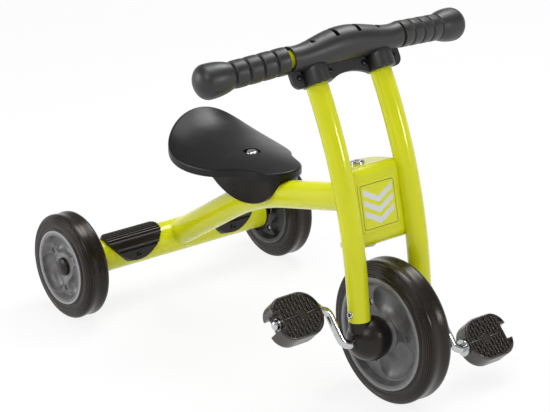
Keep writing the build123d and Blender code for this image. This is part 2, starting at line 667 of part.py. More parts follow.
bar_tip = Vector(BAR_CORNER + BAR_END * cos(sweep_angle), BAR_END * sin(sweep_angle), 0)
with BuildPart() as handlebar:
    with BuildLine(bar_path_plane) as path:
        FilletPolyline((-bar_tip.X, bar_tip.Y), (-BAR_CORNER, 0), (BAR_CORNER, 0), (bar_tip.X, bar_tip.Y),
                       radius=BAR_BEND_RADIUS)
    with BuildSketch(Plane(origin=path.line @ 0, z_dir=path.line % 0)):
        Circle(BAR_DIAMETER / 2)
        Circle(BAR_DIAMETER / 2 - BAR_WALL, mode=Mode.SUBTRACT)
    sweep()
save(handlebar, "handlebar_tube")

# Grips: ringed sleeves that end in a bulb
grip_start = (COVER_HALF_LENGTH + GRIP_GAP - BAR_CORNER) / cos(sweep_angle)
grip_ring_end = grip_start + GRIP_BANDS * GRIP_PITCH
bulb_middle = grip_ring_end + BULB_FLARE
grip_radius = GRIP_DIAMETER / 2
for name, side in SIDES:
    outward = Vector(0, side, 0) * cos(sweep_angle) - fork_front * sin(sweep_angle)
    corner = across(bar_at, side * BAR_CORNER)
    with BuildPart() as grip:
        with BuildSketch(Plane(origin=corner, x_dir=outward, z_dir=fork_up)):
            with BuildLine():
                outline = [(grip_start, BAR_DIAMETER / 2 + PRESS_GAP), (grip_start, grip_radius)]
                for band in range(1, GRIP_BANDS + 1):
                    groove = grip_start + band * GRIP_PITCH
                    outline.append((groove - GRIP_GROOVE, grip_radius))
                    outline.append((groove - GRIP_GROOVE, grip_radius - GRIP_GROOVE_DEPTH))
                    outline.append((groove, grip_radius - GRIP_GROOVE_DEPTH))
                    outline.append((groove, grip_radius))
                Polyline(*outline)
                Spline((grip_ring_end, grip_radius), (bulb_middle, BULB_RADIUS),
                       tangents=((1, 0.15), (1, 0)))
                EllipticalCenterArc((bulb_middle, 0), BULB_END, BULB_RADIUS, arc_size=90)
                bore_end = BAR_END + SEAT_GAP
                Polyline((bulb_middle + BULB_END, 0), (bore_end, 0),
                         (bore_end, BAR_DIAMETER / 2 + PRESS_GAP),
                         (grip_start, BAR_DIAMETER / 2 + PRESS_GAP))
            make_face()
        revolve(axis=Axis(corner, outward))
    save(grip, f"grip_{name}")


# Handlebar cover: two shells that meet on the plane of the fork tubes
def barrel(inset):
    """The cover's barrel around the handlebar, swollen upward in the middle, drawn in by the inset."""
    stations = ((COVER_HALF_LENGTH, COVER_END_RADIUS, 0), (COVER_SHOULDER, COVER_SHOULDER_RADIUS, 0),
                (0, COVER_MIDDLE_RADIUS, COVER_BULGE))
    rings = [(-y, radius, rise) for y, radius, rise in stations] + [s for s in stations[1::-1]]
    with BuildPart() as form:
        for y, radius, rise in rings:
            section_at = across(bar_at, y) + fork_up * rise
            with BuildSketch(Plane(origin=section_at, x_dir=fork_front, z_dir=(0, 1, 0))):
                Circle(radius - inset)
        loft()
    return form.part


flange_plane = Plane(origin=fork_top, x_dir=(0, 1, 0), z_dir=fork_front)
parting_plane = flange_plane
screw_spots = [(side * (FORK_HALF_SPACING + offset), -COVER_SCREW_DROP)
               for name, side in SIDES for offset in (-COVER_SCREW_OFFSET, COVER_SCREW_OFFSET)]
flange_half = COVER_HALF_LENGTH - SEAT_GAP


def cover_blank():
    """Both cover shells in one piece: barrel, sockets over the fork tubes and the screw flange."""
    with BuildPart() as blank:
        add(barrel(0))
        for name, side in SIDES:
            socket = Plane(origin=across(fork_top, side * FORK_HALF_SPACING), z_dir=fork_up)
            with BuildSketch(socket.offset(-SOCKET_LENGTH)):
                Circle(FORK_TUBE_DIAMETER / 2 + SOCKET_WALL)
            extrude(amount=SOCKET_LENGTH)
        with BuildSketch(flange_plane):
            with BuildLine():
                drop = SOCKET_LENGTH
                Polyline((FLANGE_ARCH_HALF, -drop), (flange_half, -drop), (flange_half, 0), (-flange_half, 0),
                         (-flange_half, -drop), (-FLANGE_ARCH_HALF, -drop))
                ThreePointArc((-FLANGE_ARCH_HALF, -drop), (0, FLANGE_ARCH - drop), (FLANGE_ARCH_HALF, -drop))
            make_face()
            low_corners = vertices().group_by(Axis.X)
            fillet([low_corners[0].sort_by(Axis.Y)[0], low_corners[-1].sort_by(Axis.Y)[0]], FLANGE_CORNER)
        extrude(amount=FLANGE_THICKNESS / 2, both=True)
        add(barrel(COVER_WALL), mode=Mode.SUBTRACT)
        for name, side in SIDES:
            add(fork_rod(side * FORK_HALF_SPACING, FORK_TUBE_DIAMETER / 2 + SEAT_GAP), mode=Mode.SUBTRACT)
        with BuildSketch(flange_plane):
            with Locations(*screw_spots):
                Circle(SCREW_DIAMETER / 2 + SEAT_GAP)
        extrude(amount=FLANGE_THICKNESS, both=True, mode=Mode.SUBTRACT)
    return blank.part


with BuildPart() as cover_front:
    add(cover_blank())
    split(bisect_by=parting_plane, keep=Keep.TOP)
    for index in range(COVER_SLOT_COUNT):
        slot_y = (index - (COVER_SLOT_COUNT - 1) / 2) * COVER_SLOT_PITCH
        slot_plane = Plane(origin=across(bar_at, slot_y), x_dir=fork_front, z_dir=(0, -1, 0))
        with BuildSketch(slot_plane):
            with Locations((COVER_MIDDLE_RADIUS / 3, COVER_MIDDLE_RADIUS)):
                Rectangle(COVER_SLOT_LENGTH, COVER_MIDDLE_RADIUS)
        extrude(amount=COVER_SLOT_WIDTH / 2, both=True, mode=Mode.SUBTRACT)
save(cover_front, "bar_cover_front")

with BuildPart() as cover_rear:
    add(cover_blank())
    split(bisect_by=parting_plane, keep=Keep.BOTTOM)
save(cover_rear, "bar_cover_rear")

with BuildPart() as cover_screws:
    with BuildSketch(flange_plane.offset(-FLANGE_THICKNESS / 2)):
        with Locations(*screw_spots):
            Circle(SCREW_DIAMETER / 2)
    extrude(amount=FLANGE_THICKNESS)
    with BuildSketch(flange_plane.offset(FLANGE_THICKNESS / 2)):
        with Locations(*screw_spots):
            Circle(SCREW_HEAD / 2)
    extrude(amount=SCREW_HEAD_HEIGHT)
save(cover_screws, "cover_screws")

# Axle housings at the fork's feet, with their bushes and screws
crank_bush_radius = CRANK_DIAMETER / 2 + RUNNING_GAP + CRANK_BUSH_WALL
tube_bore = FORK_TUBE_DIAMETER / 2 - FORK_TUBE_WALL
for name, side in SIDES:
    foot = across(front_axle_at, side * FORK_HALF_SPACING)
    foot_plane = Plane(origin=foot + leg_up * LEG_START, z_dir=leg_up)
    axle_plane = Plane(origin=front_axle_at, z_dir=(0, side, 0))
    with BuildPart() as housing:
        with Locations(across(front_axle_at, side * HOUSING_MIDDLE)):
            Sphere(HOUSING_RADIUS)
        with BuildSketch(axle_plane.offset(HOUSING_INNER)):
            Circle(2 * HOUSING_RADIUS)
        extrude(amount=HOUSING_OUTER - HOUSING_INNER, mode=Mode.INTERSECT)
        with BuildSketch(foot_plane):
            Circle(FORK_TUBE_DIAMETER / 2)
        extrude(amount=SPIGOT_LENGTH, mode=Mode.SUBTRACT)
        with BuildSketch(foot_plane):
            Circle(FORK_TUBE_DIAMETER / 2)
        extrude(amount=-LEG_START / 2)
        with BuildSketch(foot_plane):
            Circle(tube_bore - PRESS_GAP)
        extrude(amount=SPIGOT_LENGTH)
        with BuildSketch(axle_plane):
            Circle(crank_bush_radius + PRESS_GAP)
        extrude(amount=2 * HOUSING_OUTER, mode=Mode.SUBTRACT)
        screw_plane = Plane(origin=across(front_axle_at + leg_up * leg_screw_at, foot.Y), z_dir=(0, side, 0))
        with BuildSketch(screw_plane.offset(tube_bore - LEG_SCREW_DEPTH)):
            Circle(SCREW_DIAMETER / 2 + PRESS_GAP)
        extrude(amount=FORK_TUBE_DIAMETER, mode=Mode.SUBTRACT)
    save(housing, f"axle_housing_{name}")

    with BuildPart() as crank_bush:
        with BuildSketch(axle_plane.offset(HOUSING_INNER)):
            Circle(CRANK_BUSH_FLANGE_DIAMETER / 2)
        extrude(amount=-CRANK_BUSH_FLANGE)
        with BuildSketch(axle_plane.offset(HOUSING_INNER)):
            Circle(crank_bush_radius)
        extrude(amount=HOUSING_OUTER - HOUSING_INNER)
        with BuildSketch(axle_plane):
            Circle(CRANK_DIAMETER / 2 + RUNNING_GAP)
        extrude(amount=2 * HOUSING_OUTER, mode=Mode.SUBTRACT)
    save(crank_bush, f"crank_bush_{name}")

with BuildPart() as leg_screws:
    for name, side in SIDES:
        spot = across(front_axle_at + leg_up * leg_screw_at, side * FORK_HALF_SPACING)
        screw_plane = Plane(origin=spot, z_dir=(0, side, 0))
        with BuildSketch(screw_plane.offset(tube_bore - LEG_SCREW_DEPTH)):
            Circle(SCREW_DIAMETER / 2)
        extrude(amount=LEG_SCREW_DEPTH + FORK_TUBE_WALL)
        with BuildSketch(screw_plane.offset(FORK_TUBE_DIAMETER / 2)):
            Circle(SCREW_HEAD / 2)
        extrude(amount=SCREW_HEAD_HEIGHT)
save(leg_screws, "leg_screws")

# Crank: one bent rod through the front wheel, with a pin that drives the hub
collar_inner = PEDAL_INNER - SIDE_GAP - COLLAR_THICKNESS
push_nut_at = PEDAL_INNER + PEDAL_LENGTH - PEDAL_NOTCH_DEPTH + SIDE_GAP
spindle_end = push_nut_at + PUSH_NUT_HEIGHT - PUSH_NUT_DOME
crank_rise = HOUSING_OUTER + SIDE_GAP + CRANK_BEND
crank_top = collar_inner - CRANK_BEND
with BuildPart() as crank:
    near_spindle = front_axle_at + crank_arm
    far_spindle = front_axle_at - crank_arm
    with BuildLine() as path:
        FilletPolyline(across(near_spindle, -spindle_end), across(near_spindle, -crank_top),
                       across(front_axle_at, -crank_rise), across(front_axle_at, crank_rise),
                       across(far_spindle, crank_top), across(far_spindle, spindle_end), radius=CRANK_BEND)
    with BuildSketch(Plane(origin=path.line @ 0, z_dir=path.line % 0)):
        Circle(CRANK_DIAMETER / 2)
    sweep()
    add(drive_pin_hole.part, mode=Mode.SUBTRACT)
save(crank, "crank")

drive_pin = tube_along(pin_plane, DRIVE_PIN_DIAMETER / 2, 0, DRIVE_PIN_LENGTH / 2)
save(drive_pin, "drive_pin")

with BuildPart() as collars:
    for name, side in SIDES:
        spindle = across(front_axle_at - crank_arm * side, side * collar_inner)
        with BuildSketch(Plane(origin=spindle, z_dir=(0, side, 0))):
            Circle(COLLAR_DIAMETER / 2)
            Circle(CRANK_DIAMETER / 2 + PRESS_GAP, mode=Mode.SUBTRACT)
        extrude(amount=COLLAR_THICKNESS)
save(collars, "crank_collars")

with BuildPart() as push_nuts:
    for name, side in SIDES:
        spindle = across(front_axle_at - crank_arm * side, side * push_nut_at)
        nut_plane = Plane(origin=spindle, z_dir=(0, side, 0))
        nut_radius = PUSH_NUT_DIAMETER / 2
        cup_radius = nut_radius - PUSH_NUT_RIM
        nut_dome = (cup_radius ** 2 + PUSH_NUT_DOME ** 2) / (2 * PUSH_NUT_DOME)
        cup_rim = PUSH_NUT_HEIGHT - PUSH_NUT_DOME
        with BuildSketch(wheel_plane(spindle, side)):
            with BuildLine():
                Polyline((0, 0), (0, nut_radius), (PUSH_NUT_RIM, nut_radius), (PUSH_NUT_RIM, cup_radius),
                         (cup_rim, cup_radius))
                RadiusArc((cup_rim, cup_radius), (PUSH_NUT_HEIGHT, 0), nut_dome)
                Line((PUSH_NUT_HEIGHT, 0), (0, 0))
            make_face()
        revolve(axis=Axis(spindle, (0, 1, 0)))
        with BuildSketch(nut_plane):
            Circle(CRANK_DIAMETER / 2 + PRESS_GAP)
        extrude(amount=spindle_end - push_nut_at, mode=Mode.SUBTRACT)
save(push_nuts, "pedal_push_nuts")

# Pedals
tilt = radians(PEDAL_TILT)
for name, side in SIDES:
    spindle = across(front_axle_at - crank_arm * side, side * PEDAL_INNER)
    tread_normal = Vector(cos(tilt), 0, sin(tilt))
    tread = Plane(origin=spindle, x_dir=(0, side, 0), z_dir=tread_normal)
    with BuildPart() as pedal:
        with BuildSketch(tread):
            with Locations((PEDAL_LENGTH / 2, 0)):
                Rectangle(PEDAL_LENGTH, 2 * PEDAL_HALF_WIDTH)
            fillet(vertices().group_by(Axis.X)[0], PEDAL_INNER_CORNER)
            fillet(vertices().group_by(Axis.X)[-1], PEDAL_OUTER_CORNER)
        extrude(amount=PEDAL_THICKNESS / 2, both=True)
        rims = faces().filter_by(Plane(origin=spindle, z_dir=tread_normal))
        fillet(rims.edges(), PEDAL_EDGE)
        with BuildSketch(tread):
            with Locations((PEDAL_LENGTH, 0)):
                Rectangle(2 * PEDAL_NOTCH_DEPTH, PEDAL_NOTCH_WIDTH)
        extrude(amount=PEDAL_THICKNESS, both=True, mode=Mode.SUBTRACT)
        for face_side in (1, -1):
            face_plane = Plane(origin=spindle + tread_normal * (face_side * PEDAL_THICKNESS / 2),
                               x_dir=(0, side, 0), z_dir=tread_normal * face_side)
            floor_length = PEDAL_LENGTH - 2 * PEDAL_RIM
            with BuildSketch(face_plane):
                with Locations((PEDAL_LENGTH / 2, 0)):
                    Rectangle(floor_length, 2 * (PEDAL_HALF_WIDTH - PEDAL_RIM))
                fillet(vertices().group_by(Axis.X)[0], PEDAL_INNER_CORNER - PEDAL_RIM)
                fillet(vertices().group_by(Axis.X)[-1], PEDAL_OUTER_CORNER - PEDAL_RIM)
                with Locations((PEDAL_LENGTH, 0)):
                    Rectangle(2 * (PEDAL_NOTCH_DEPTH + PEDAL_RIM), PEDAL_NOTCH_WIDTH + 2 * PEDAL_RIM,
                              mode=Mode.SUBTRACT)
            extrude(amount=-PEDAL_RECESS, mode=Mode.SUBTRACT)
            with BuildSketch(face_plane.offset(-PEDAL_RECESS)):
                with Locations(((PEDAL_LENGTH - PEDAL_NOTCH_DEPTH) / 2, 0)):
                    Circle(PEDAL_BOSS_DIAMETER / 2)
            extrude(amount=PEDAL_BOSS_HEIGHT)
        with BuildSketch(Plane(origin=spindle, z_dir=(0, side, 0))):
            Circle(CRANK_DIAMETER / 2 + RUNNING_GAP)
        extrude(amount=PEDAL_LENGTH, mode=Mode.SUBTRACT)
    save(pedal, f"pedal_{name}")


# Seat: a moulded saddle shell on a base that straddles the backbone
def seat_prism(inset):
    """A tall block with the saddle's plan outline, drawn in by the inset."""
    with BuildPart() as block:
        with BuildSketch(Plane(origin=(rear_x, 0, 0))):
            with BuildLine():
                horn = SEAT_HORN_HALF_WIDTH - inset
                neck = SEAT_NECK_HALF_WIDTH - inset
                nose_length = SEAT_NOSE - inset - SEAT_HORN
                nose_centre = SEAT_NOSE - inset - (horn ** 2 + nose_length ** 2) / (2 * nose_length)
                half_outline = Spline((SEAT_TAIL + inset, 0), (SEAT_WIDEST, SEAT_HALF_WIDTH - inset),
                                      (SEAT_NECK, neck), (SEAT_HORN, horn),
                                      tangents=((0, 1), (horn, nose_centre - SEAT_HORN)))
                mirror(half_outline, about=Plane.XZ)
                ThreePointArc((SEAT_HORN, horn), (SEAT_NOSE - inset, 0), (SEAT_HORN, -horn))
            make_face()
        extrude(amount=2 * SEAT_TAIL_HEIGHT)
    return block.part


def seat_arch(drop):
    """Everything under the saddle's top surface, lowered by the drop."""
    tail_slope = (SEAT_TAIL_HEIGHT - SEAT_WIDEST_HEIGHT) / (SEAT_WIDEST - SEAT_TAIL)
    nose_slope = (SEAT_NOSE_HEIGHT - SEAT_HORN_HEIGHT) / (SEAT_NOSE - SEAT_HORN)
    stations = ((SEAT_TAIL - SEAT_RIM, SEAT_TAIL_HEIGHT + tail_slope * SEAT_RIM, SEAT_TAIL_DROP),
                (SEAT_WIDEST, SEAT_WIDEST_HEIGHT, SEAT_WIDEST_DROP),
                (SEAT_DIP, SEAT_DIP_HEIGHT, SEAT_DIP_DROP),
                (SEAT_HORN, SEAT_HORN_HEIGHT, SEAT_HORN_DROP),
                (SEAT_NOSE + SEAT_RIM, SEAT_NOSE_HEIGHT + nose_slope * SEAT_RIM, SEAT_HORN_DROP))
    with BuildPart() as under:
        for x, height, side_drop in stations:
            top = height - drop
            edge = top - side_drop
            with BuildSketch(Plane(origin=(rear_x + x, 0, 0), x_dir=(0, 1, 0), z_dir=(1, 0, 0))):
                with BuildLine():
                    ThreePointArc((-SEAT_HALF_WIDTH, edge), (0, top), (SEAT_HALF_WIDTH, edge))
                    Polyline((SEAT_HALF_WIDTH, edge), (SEAT_HALF_WIDTH, 0), (-SEAT_HALF_WIDTH, 0),
                             (-SEAT_HALF_WIDTH, edge))
                make_face()
        loft()
    return under.part


def rod_up(at, bottom, top, radius):
    """An upright rod between two heights."""
    with BuildPart() as rod:
        with BuildSketch(Plane(origin=(at.X, at.Y, bottom))):
            Circle(radius)
        extrude(amount=top - bottom)
    return rod.part


recess_floor = SEAT_DIP_HEIGHT - SEAT_THICKNESS + SEAT_RECESS_FLOOR
hollow = seat_prism(SEAT_THICKNESS) & seat_arch(SEAT_THICKNESS)
seat_bolt_hole = rod_up(seat_bolt_at, 0, SEAT_TAIL_HEIGHT, SEAT_BOLT_DIAMETER / 2 + SEAT_GAP)
with BuildPart() as seat:
    add(seat_prism(0))
    add(seat_arch(0), mode=Mode.INTERSECT)
    fillet(faces().sort_by(Axis.Z)[-1].edges(), SEAT_ROLL)
    add(hollow, mode=Mode.SUBTRACT)
    add(seat_arch(SEAT_RIM), mode=Mode.SUBTRACT)
    add(rod_up(seat_bolt_at, recess_floor, SEAT_TAIL_HEIGHT, SEAT_RECESS / 2), mode=Mode.SUBTRACT)
    add(seat_bolt_hole, mode=Mode.SUBTRACT)
save(seat, "seat")

with BuildPart() as seat_base:
    with BuildSketch(Plane(origin=(rear_x, 0, 0), x_dir=(1, 0, 0), z_dir=(0, -1, 0))):
        with BuildLine():
            rear_low = (SEAT_BASE_REAR, SEAT_BASE_REAR_HEIGHT)
            rise = (SEAT_BASE_RISE, SEAT_BASE_RISE_HEIGHT)
            lobe = ThreePointArc(rear_low, (SEAT_BASE_LOBE, SEAT_BASE_LOBE_HEIGHT), rise)
            throat = (SEAT_BASE_THROAT, SEAT_BASE_FRONT_HEIGHT - SEAT_BASE_THROAT_DROP)
            TangentArc(rise, throat, tangent=lobe % 1)
            Polyline(throat, (SEAT_BASE_FRONT, SEAT_BASE_FRONT_HEIGHT), (SEAT_BASE_FRONT, SEAT_TAIL_HEIGHT),
                     (SEAT_BASE_REAR, SEAT_TAIL_HEIGHT), rear_low)
        make_face()
    extrude(amount=SEAT_BASE_HALF_WIDTH, both=True)
    pocket_half = SEAT_BASE_HALF_WIDTH - SEAT_BASE_WALL
    saddle_half = SEAT_SADDLE_LENGTH / 2
    for start, end in ((SEAT_BASE_REAR + SEAT_BASE_WALL, SEAT_BOLT_AT - saddle_half),
                       (SEAT_BOLT_AT + saddle_half, SEAT_BASE_THROAT - 2 * SEAT_BASE_WALL)):
        with BuildSketch(Plane(origin=(rear_x + (start + end) / 2, 0, 0))):
            Rectangle(end - start, 2 * pocket_half)
        extrude(amount=SEAT_BASE_FRONT_HEIGHT - SEAT_BASE_WALL, mode=Mode.SUBTRACT)
    add(seat_prism(SEAT_THICKNESS + SEAT_GAP), mode=Mode.INTERSECT)
    add(seat_arch(SEAT_THICKNESS), mode=Mode.INTERSECT)
    add(backbone_rod(BACKBONE_DIAMETER / 2), mode=Mode.SUBTRACT)
    add(seat_bolt_hole, mode=Mode.SUBTRACT)
save(seat_base, "seat_base")

# The seat bolt's captive nut and washer sit inside the backbone, under its upper wall
bore_radius = BACKBONE_DIAMETER / 2 - BACKBONE_WALL
washer_radius = SEAT_WASHER_DIAMETER / 2
washer_side_fall = bore_radius - sqrt(bore_radius ** 2 - washer_radius ** 2)
washer_top = bolt_on_tube.Z + bore_radius / cos(bolt_slope)
washer_fall = washer_radius * tan(bolt_slope) + washer_side_fall / cos(bolt_slope)
washer_base = washer_top - washer_fall - SEAT_WASHER_LIP
with BuildPart() as seat_washer:
    add(rod_up(seat_bolt_at, washer_base, washer_top + washer_radius, washer_radius))
    add(backbone_rod(bore_radius), mode=Mode.INTERSECT)
    add(seat_bolt_hole, mode=Mode.SUBTRACT)
save(seat_washer, "seat_washer")

with BuildPart() as seat_bolt:
    with BuildSketch(Plane(origin=(seat_bolt_at.X, 0, washer_base - SEAT_NUT_HEIGHT))):
        Circle(SEAT_BOLT_DIAMETER / 2)
    extrude(amount=recess_floor - washer_base + SEAT_NUT_HEIGHT)
    with BuildSketch(Plane(origin=(seat_bolt_at.X, 0, recess_floor))):
        Circle(SEAT_BOLT_HEAD / 2)
    extrude(amount=SEAT_BOLT_HEAD_HEIGHT)
    fillet(edges().group_by(Axis.Z)[-1], SEAT_BOLT_HEAD_HEIGHT * 0.8)
save(seat_bolt, "seat_bolt")

with BuildPart() as seat_nut:
    with BuildSketch(Plane(origin=(seat_bolt_at.X, 0, washer_base - SEAT_NUT_HEIGHT))):
        RegularPolygon(SEAT_NUT_WIDTH / 2, 6, major_radius=False)
        Circle(SEAT_BOLT_DIAMETER / 2 + PRESS_GAP, mode=Mode.SUBTRACT)
    extrude(amount=SEAT_NUT_HEIGHT)
save(seat_nut, "seat_nut")

# Steps: ribbed mouldings that wrap the top and front of the cross tube
tube_radius = CROSS_TUBE_DIAMETER / 2
step_front = tube_radius + STEP_FRONT_THICKNESS
rib_root = tube_radius + STEP_SKIN
rib_tip = rib_root + STEP_RIB_DEPTH


def round_tube(angle, radius):
    """A point of the step's section, by its angle up from the front and its distance from the tube's axis."""
    return (radius * cos(radians(angle)), radius * sin(radians(angle)))


step_back_corner = round_tube(STEP_TOP_ANGLE, rib_tip)
step_high = (step_back_corner[1] - step_back_corner[0]) / sqrt(2)
step_low = (step_front + STEP_BOTTOM) / sqrt(2)
for name, side in SIDES:
    step_at = across(rear_axle_at, side * STEP_CENTRE)
    with BuildPart() as step:
        with BuildSketch(Plane(origin=step_at, x_dir=(1, 0, 0), z_dir=(0, -1, 0))):
            with BuildLine():
                outline = [(0, 0), round_tube(STEP_TOP_ANGLE, rib_root)]
                for rib in range(STEP_RIBS):
                    tip = STEP_FIRST_RIB - rib * STEP_RIB_PITCH
                    outline.append(round_tube(tip + STEP_RIB_HALF, rib_tip))
                    outline.append(round_tube(tip - STEP_RIB_HALF, rib_tip))
                    outline.append(round_tube(tip - STEP_RIB_PITCH / 2, rib_root))
                for ridge in (STEP_UPPER_RIDGE, STEP_LOWER_RIDGE):
                    outline.append(round_tube(ridge + STEP_RIDGE_FOOT, rib_root))
                    outline.append(round_tube(ridge + STEP_RIB_HALF, rib_tip))
                    outline.append(round_tube(ridge - STEP_RIB_HALF, rib_tip))
                    outline.append(round_tube(ridge - STEP_RIDGE_FOOT, rib_root))
                outline.append((step_front, STEP_LEDGE_HEIGHT))
                outline.append((step_front, -STEP_BOTTOM))
                outline.append((0, -STEP_BOTTOM))
                Polyline(*outline, close=True)
            make_face()
        extrude(amount=STEP_HALF_LENGTH, both=True)
        with BuildSketch(Plane(origin=step_at, x_dir=(0, 1, 0), z_dir=(1, 0, 1))):
            with BuildLine():
                Polyline((-STEP_HALF_LENGTH, STEP_SIDE), (-STEP_HALF_LENGTH, step_high),
                         (STEP_HALF_LENGTH, step_high), (STEP_HALF_LENGTH, STEP_SIDE))
                ThreePointArc((STEP_HALF_LENGTH, STEP_SIDE), (0, -step_low), (-STEP_HALF_LENGTH, STEP_SIDE))
            make_face()
            fillet(vertices().group_by(Axis.Y)[-1], STEP_CORNER)
        extrude(amount=2 * rib_tip, both=True, mode=Mode.INTERSECT)
        add(tube_along(rear_cross_plane, tube_radius, 0, CROSS_TUBE_HALF_LENGTH).part, mode=Mode.SUBTRACT)
        with BuildSketch(Plane(origin=step_at, z_dir=(1, 0, 0))):
            Circle(SCREW_DIAMETER / 2 + SEAT_GAP)
        extrude(amount=2 * step_front, mode=Mode.SUBTRACT)
    save(step, f"rear_step_{name}")

with BuildPart() as step_screws:
    for name, side in SIDES:
        screw_plane = Plane(origin=across(rear_axle_at, side * STEP_CENTRE), z_dir=(1, 0, 0))
        shank_from = tube_radius - CROSS_TUBE_WALL - SCREW_GRIP
        with BuildSketch(screw_plane.offset(shank_from)):
            Circle(SCREW_DIAMETER / 2)
        extrude(amount=step_front - shank_from)
        with BuildSketch(screw_plane.offset(step_front)):
            Circle(SCREW_HEAD / 2)
        extrude(amount=SCREW_HEAD_HEIGHT)
save(step_screws, "step_screws")
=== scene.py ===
"""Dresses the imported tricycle: finishes, moulded and machined detail, a studio and the camera.

Everything is in metres in the model's own frame: +X forward, +Y to the rider's left, +Z up, floor at zero.
"""
import json
import logging
import math
from dataclasses import dataclass, field
from enum import Enum
from typing import Callable, Iterable, Optional, Sequence, Union

import bmesh
import bpy
from mathutils import Matrix, Vector


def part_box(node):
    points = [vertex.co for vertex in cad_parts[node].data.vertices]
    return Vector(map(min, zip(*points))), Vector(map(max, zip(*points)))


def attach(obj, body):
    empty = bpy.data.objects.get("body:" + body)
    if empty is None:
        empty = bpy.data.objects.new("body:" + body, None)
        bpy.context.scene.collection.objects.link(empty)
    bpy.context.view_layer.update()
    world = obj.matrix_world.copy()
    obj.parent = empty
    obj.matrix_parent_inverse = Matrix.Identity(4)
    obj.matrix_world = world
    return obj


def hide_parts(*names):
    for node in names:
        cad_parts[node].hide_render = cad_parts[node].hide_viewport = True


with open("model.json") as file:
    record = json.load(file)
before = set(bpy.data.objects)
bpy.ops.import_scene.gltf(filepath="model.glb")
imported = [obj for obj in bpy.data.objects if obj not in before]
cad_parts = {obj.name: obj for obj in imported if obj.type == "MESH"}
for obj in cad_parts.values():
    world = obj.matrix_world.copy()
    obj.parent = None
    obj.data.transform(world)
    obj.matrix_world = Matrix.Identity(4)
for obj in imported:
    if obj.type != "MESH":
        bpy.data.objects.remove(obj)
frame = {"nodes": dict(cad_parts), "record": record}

Point2 = tuple[float, float]
Point3 = tuple[float, float, float]
Colour = tuple[float, float, float]
Settings = dict[str, object]
Inputs = dict[Union[str, int], object]

log = logging.getLogger("tricycle")
MM = 0.001
TAU = 2.0 * math.pi
QUARTER = math.pi / 2
MERGE_DISTANCE = 1e-6
EDGE_SAMPLES = 6
# Places of the Mix node's sockets when it mixes colours.
MIX_SHARE, MIX_FIRST, MIX_SECOND, MIX_RESULT = 0, 6, 7, 2
WHITE: Colour = (1.0, 1.0, 1.0)
LIME: Colour = (0.68, 0.70, 0.010)
WARM_GLOSS: Colour = (1.0, 0.93, 0.88)


class Side(Enum):
    """The two sides of the tricycle, as seen by the rider."""

    LEFT = 1
    RIGHT = -1

    @property
    def label(self) -> str:
        """The side's word in node names."""
        return self.name.lower()


class Slot(Enum):
    """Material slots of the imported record."""

    LIME = "lime_powder_coat"
    BLACK = "black_moulded_plastic"
    RUBBER = "tyre_rubber"
    GREY = "grey_hub_plastic"
    CHROME = "bright_chrome"
    STEEL = "plain_steel"
    NYLON = "white_nylon"
    LABEL = "printed_label"
    DARK = "blackened_steel"


def worked(operation: str) -> Callable[..., "Sock"]:
    """Makes a method of a value that adds one Math node.

    Args:
        operation: The node's operation.

    Returns:
        The method, which takes the operation's other terms.
    """
    def method(self: "Sock", *others: "Value") -> "Sock":
        """The operation's result."""
        return self.graph.math(operation, self, *others)

    return method


class Sock:
    """A value in a node tree. Python arithmetic on it adds Math nodes, and a comparison gives one or zero."""

    def __init__(self, graph: "Graph", socket: bpy.types.NodeSocket) -> None:
        """Wraps a node's output."""
        self.graph = graph
        self.socket = socket

    __add__ = __radd__ = worked("ADD")
    __sub__ = worked("SUBTRACT")
    __mul__ = __rmul__ = worked("MULTIPLY")
    __abs__ = worked("ABSOLUTE")
    __lt__ = worked("LESS_THAN")
    __gt__ = worked("GREATER_THAN")
    sqrt = worked("SQRT")
    least = worked("MINIMUM")
    most = worked("MAXIMUM")

    def __rsub__(self, other: float) -> "Sock":
        """Difference from a number."""
        return self.graph.math("SUBTRACT", other, self)

    def cycle(self, period: float) -> "Sock":
        """A triangle wave of the value, from 0 to 1 and back once a period."""
        return self.graph.math("PINGPONG", self * (2.0 / period), 1.0)

    def ease(self, low: float, high: float, out_low: float = 0.0, out_high: float = 1.0) -> "Sock":
        """Maps a range onto another with a smooth step.

        Args:
            low: Where the range starts.
            high: Where it ends.
            out_low: What its start becomes.
            out_high: What its end becomes.

        Returns:
            The mapped value.
        """
        settings = {"interpolation_type": "SMOOTHSTEP"}
        inputs = {"Value": self, "From Min": low, "From Max": high, "To Min": out_low, "To Max": out_high}
        return self.graph.node("ShaderNodeMapRange", settings, inputs).out("Result")


Value = Union[Sock, float]


class Made:
    """A node that was just added, whose outputs are read by name."""

    def __init__(self, graph: "Graph", node: bpy.types.Node) -> None:
        """Wraps a node."""
        self.graph = graph
        self.node = node

    def out(self, name: Union[str, int] = 0) -> Sock:
        """One of the node's outputs, by name or place."""
        return Sock(self.graph, self.node.outputs[name])


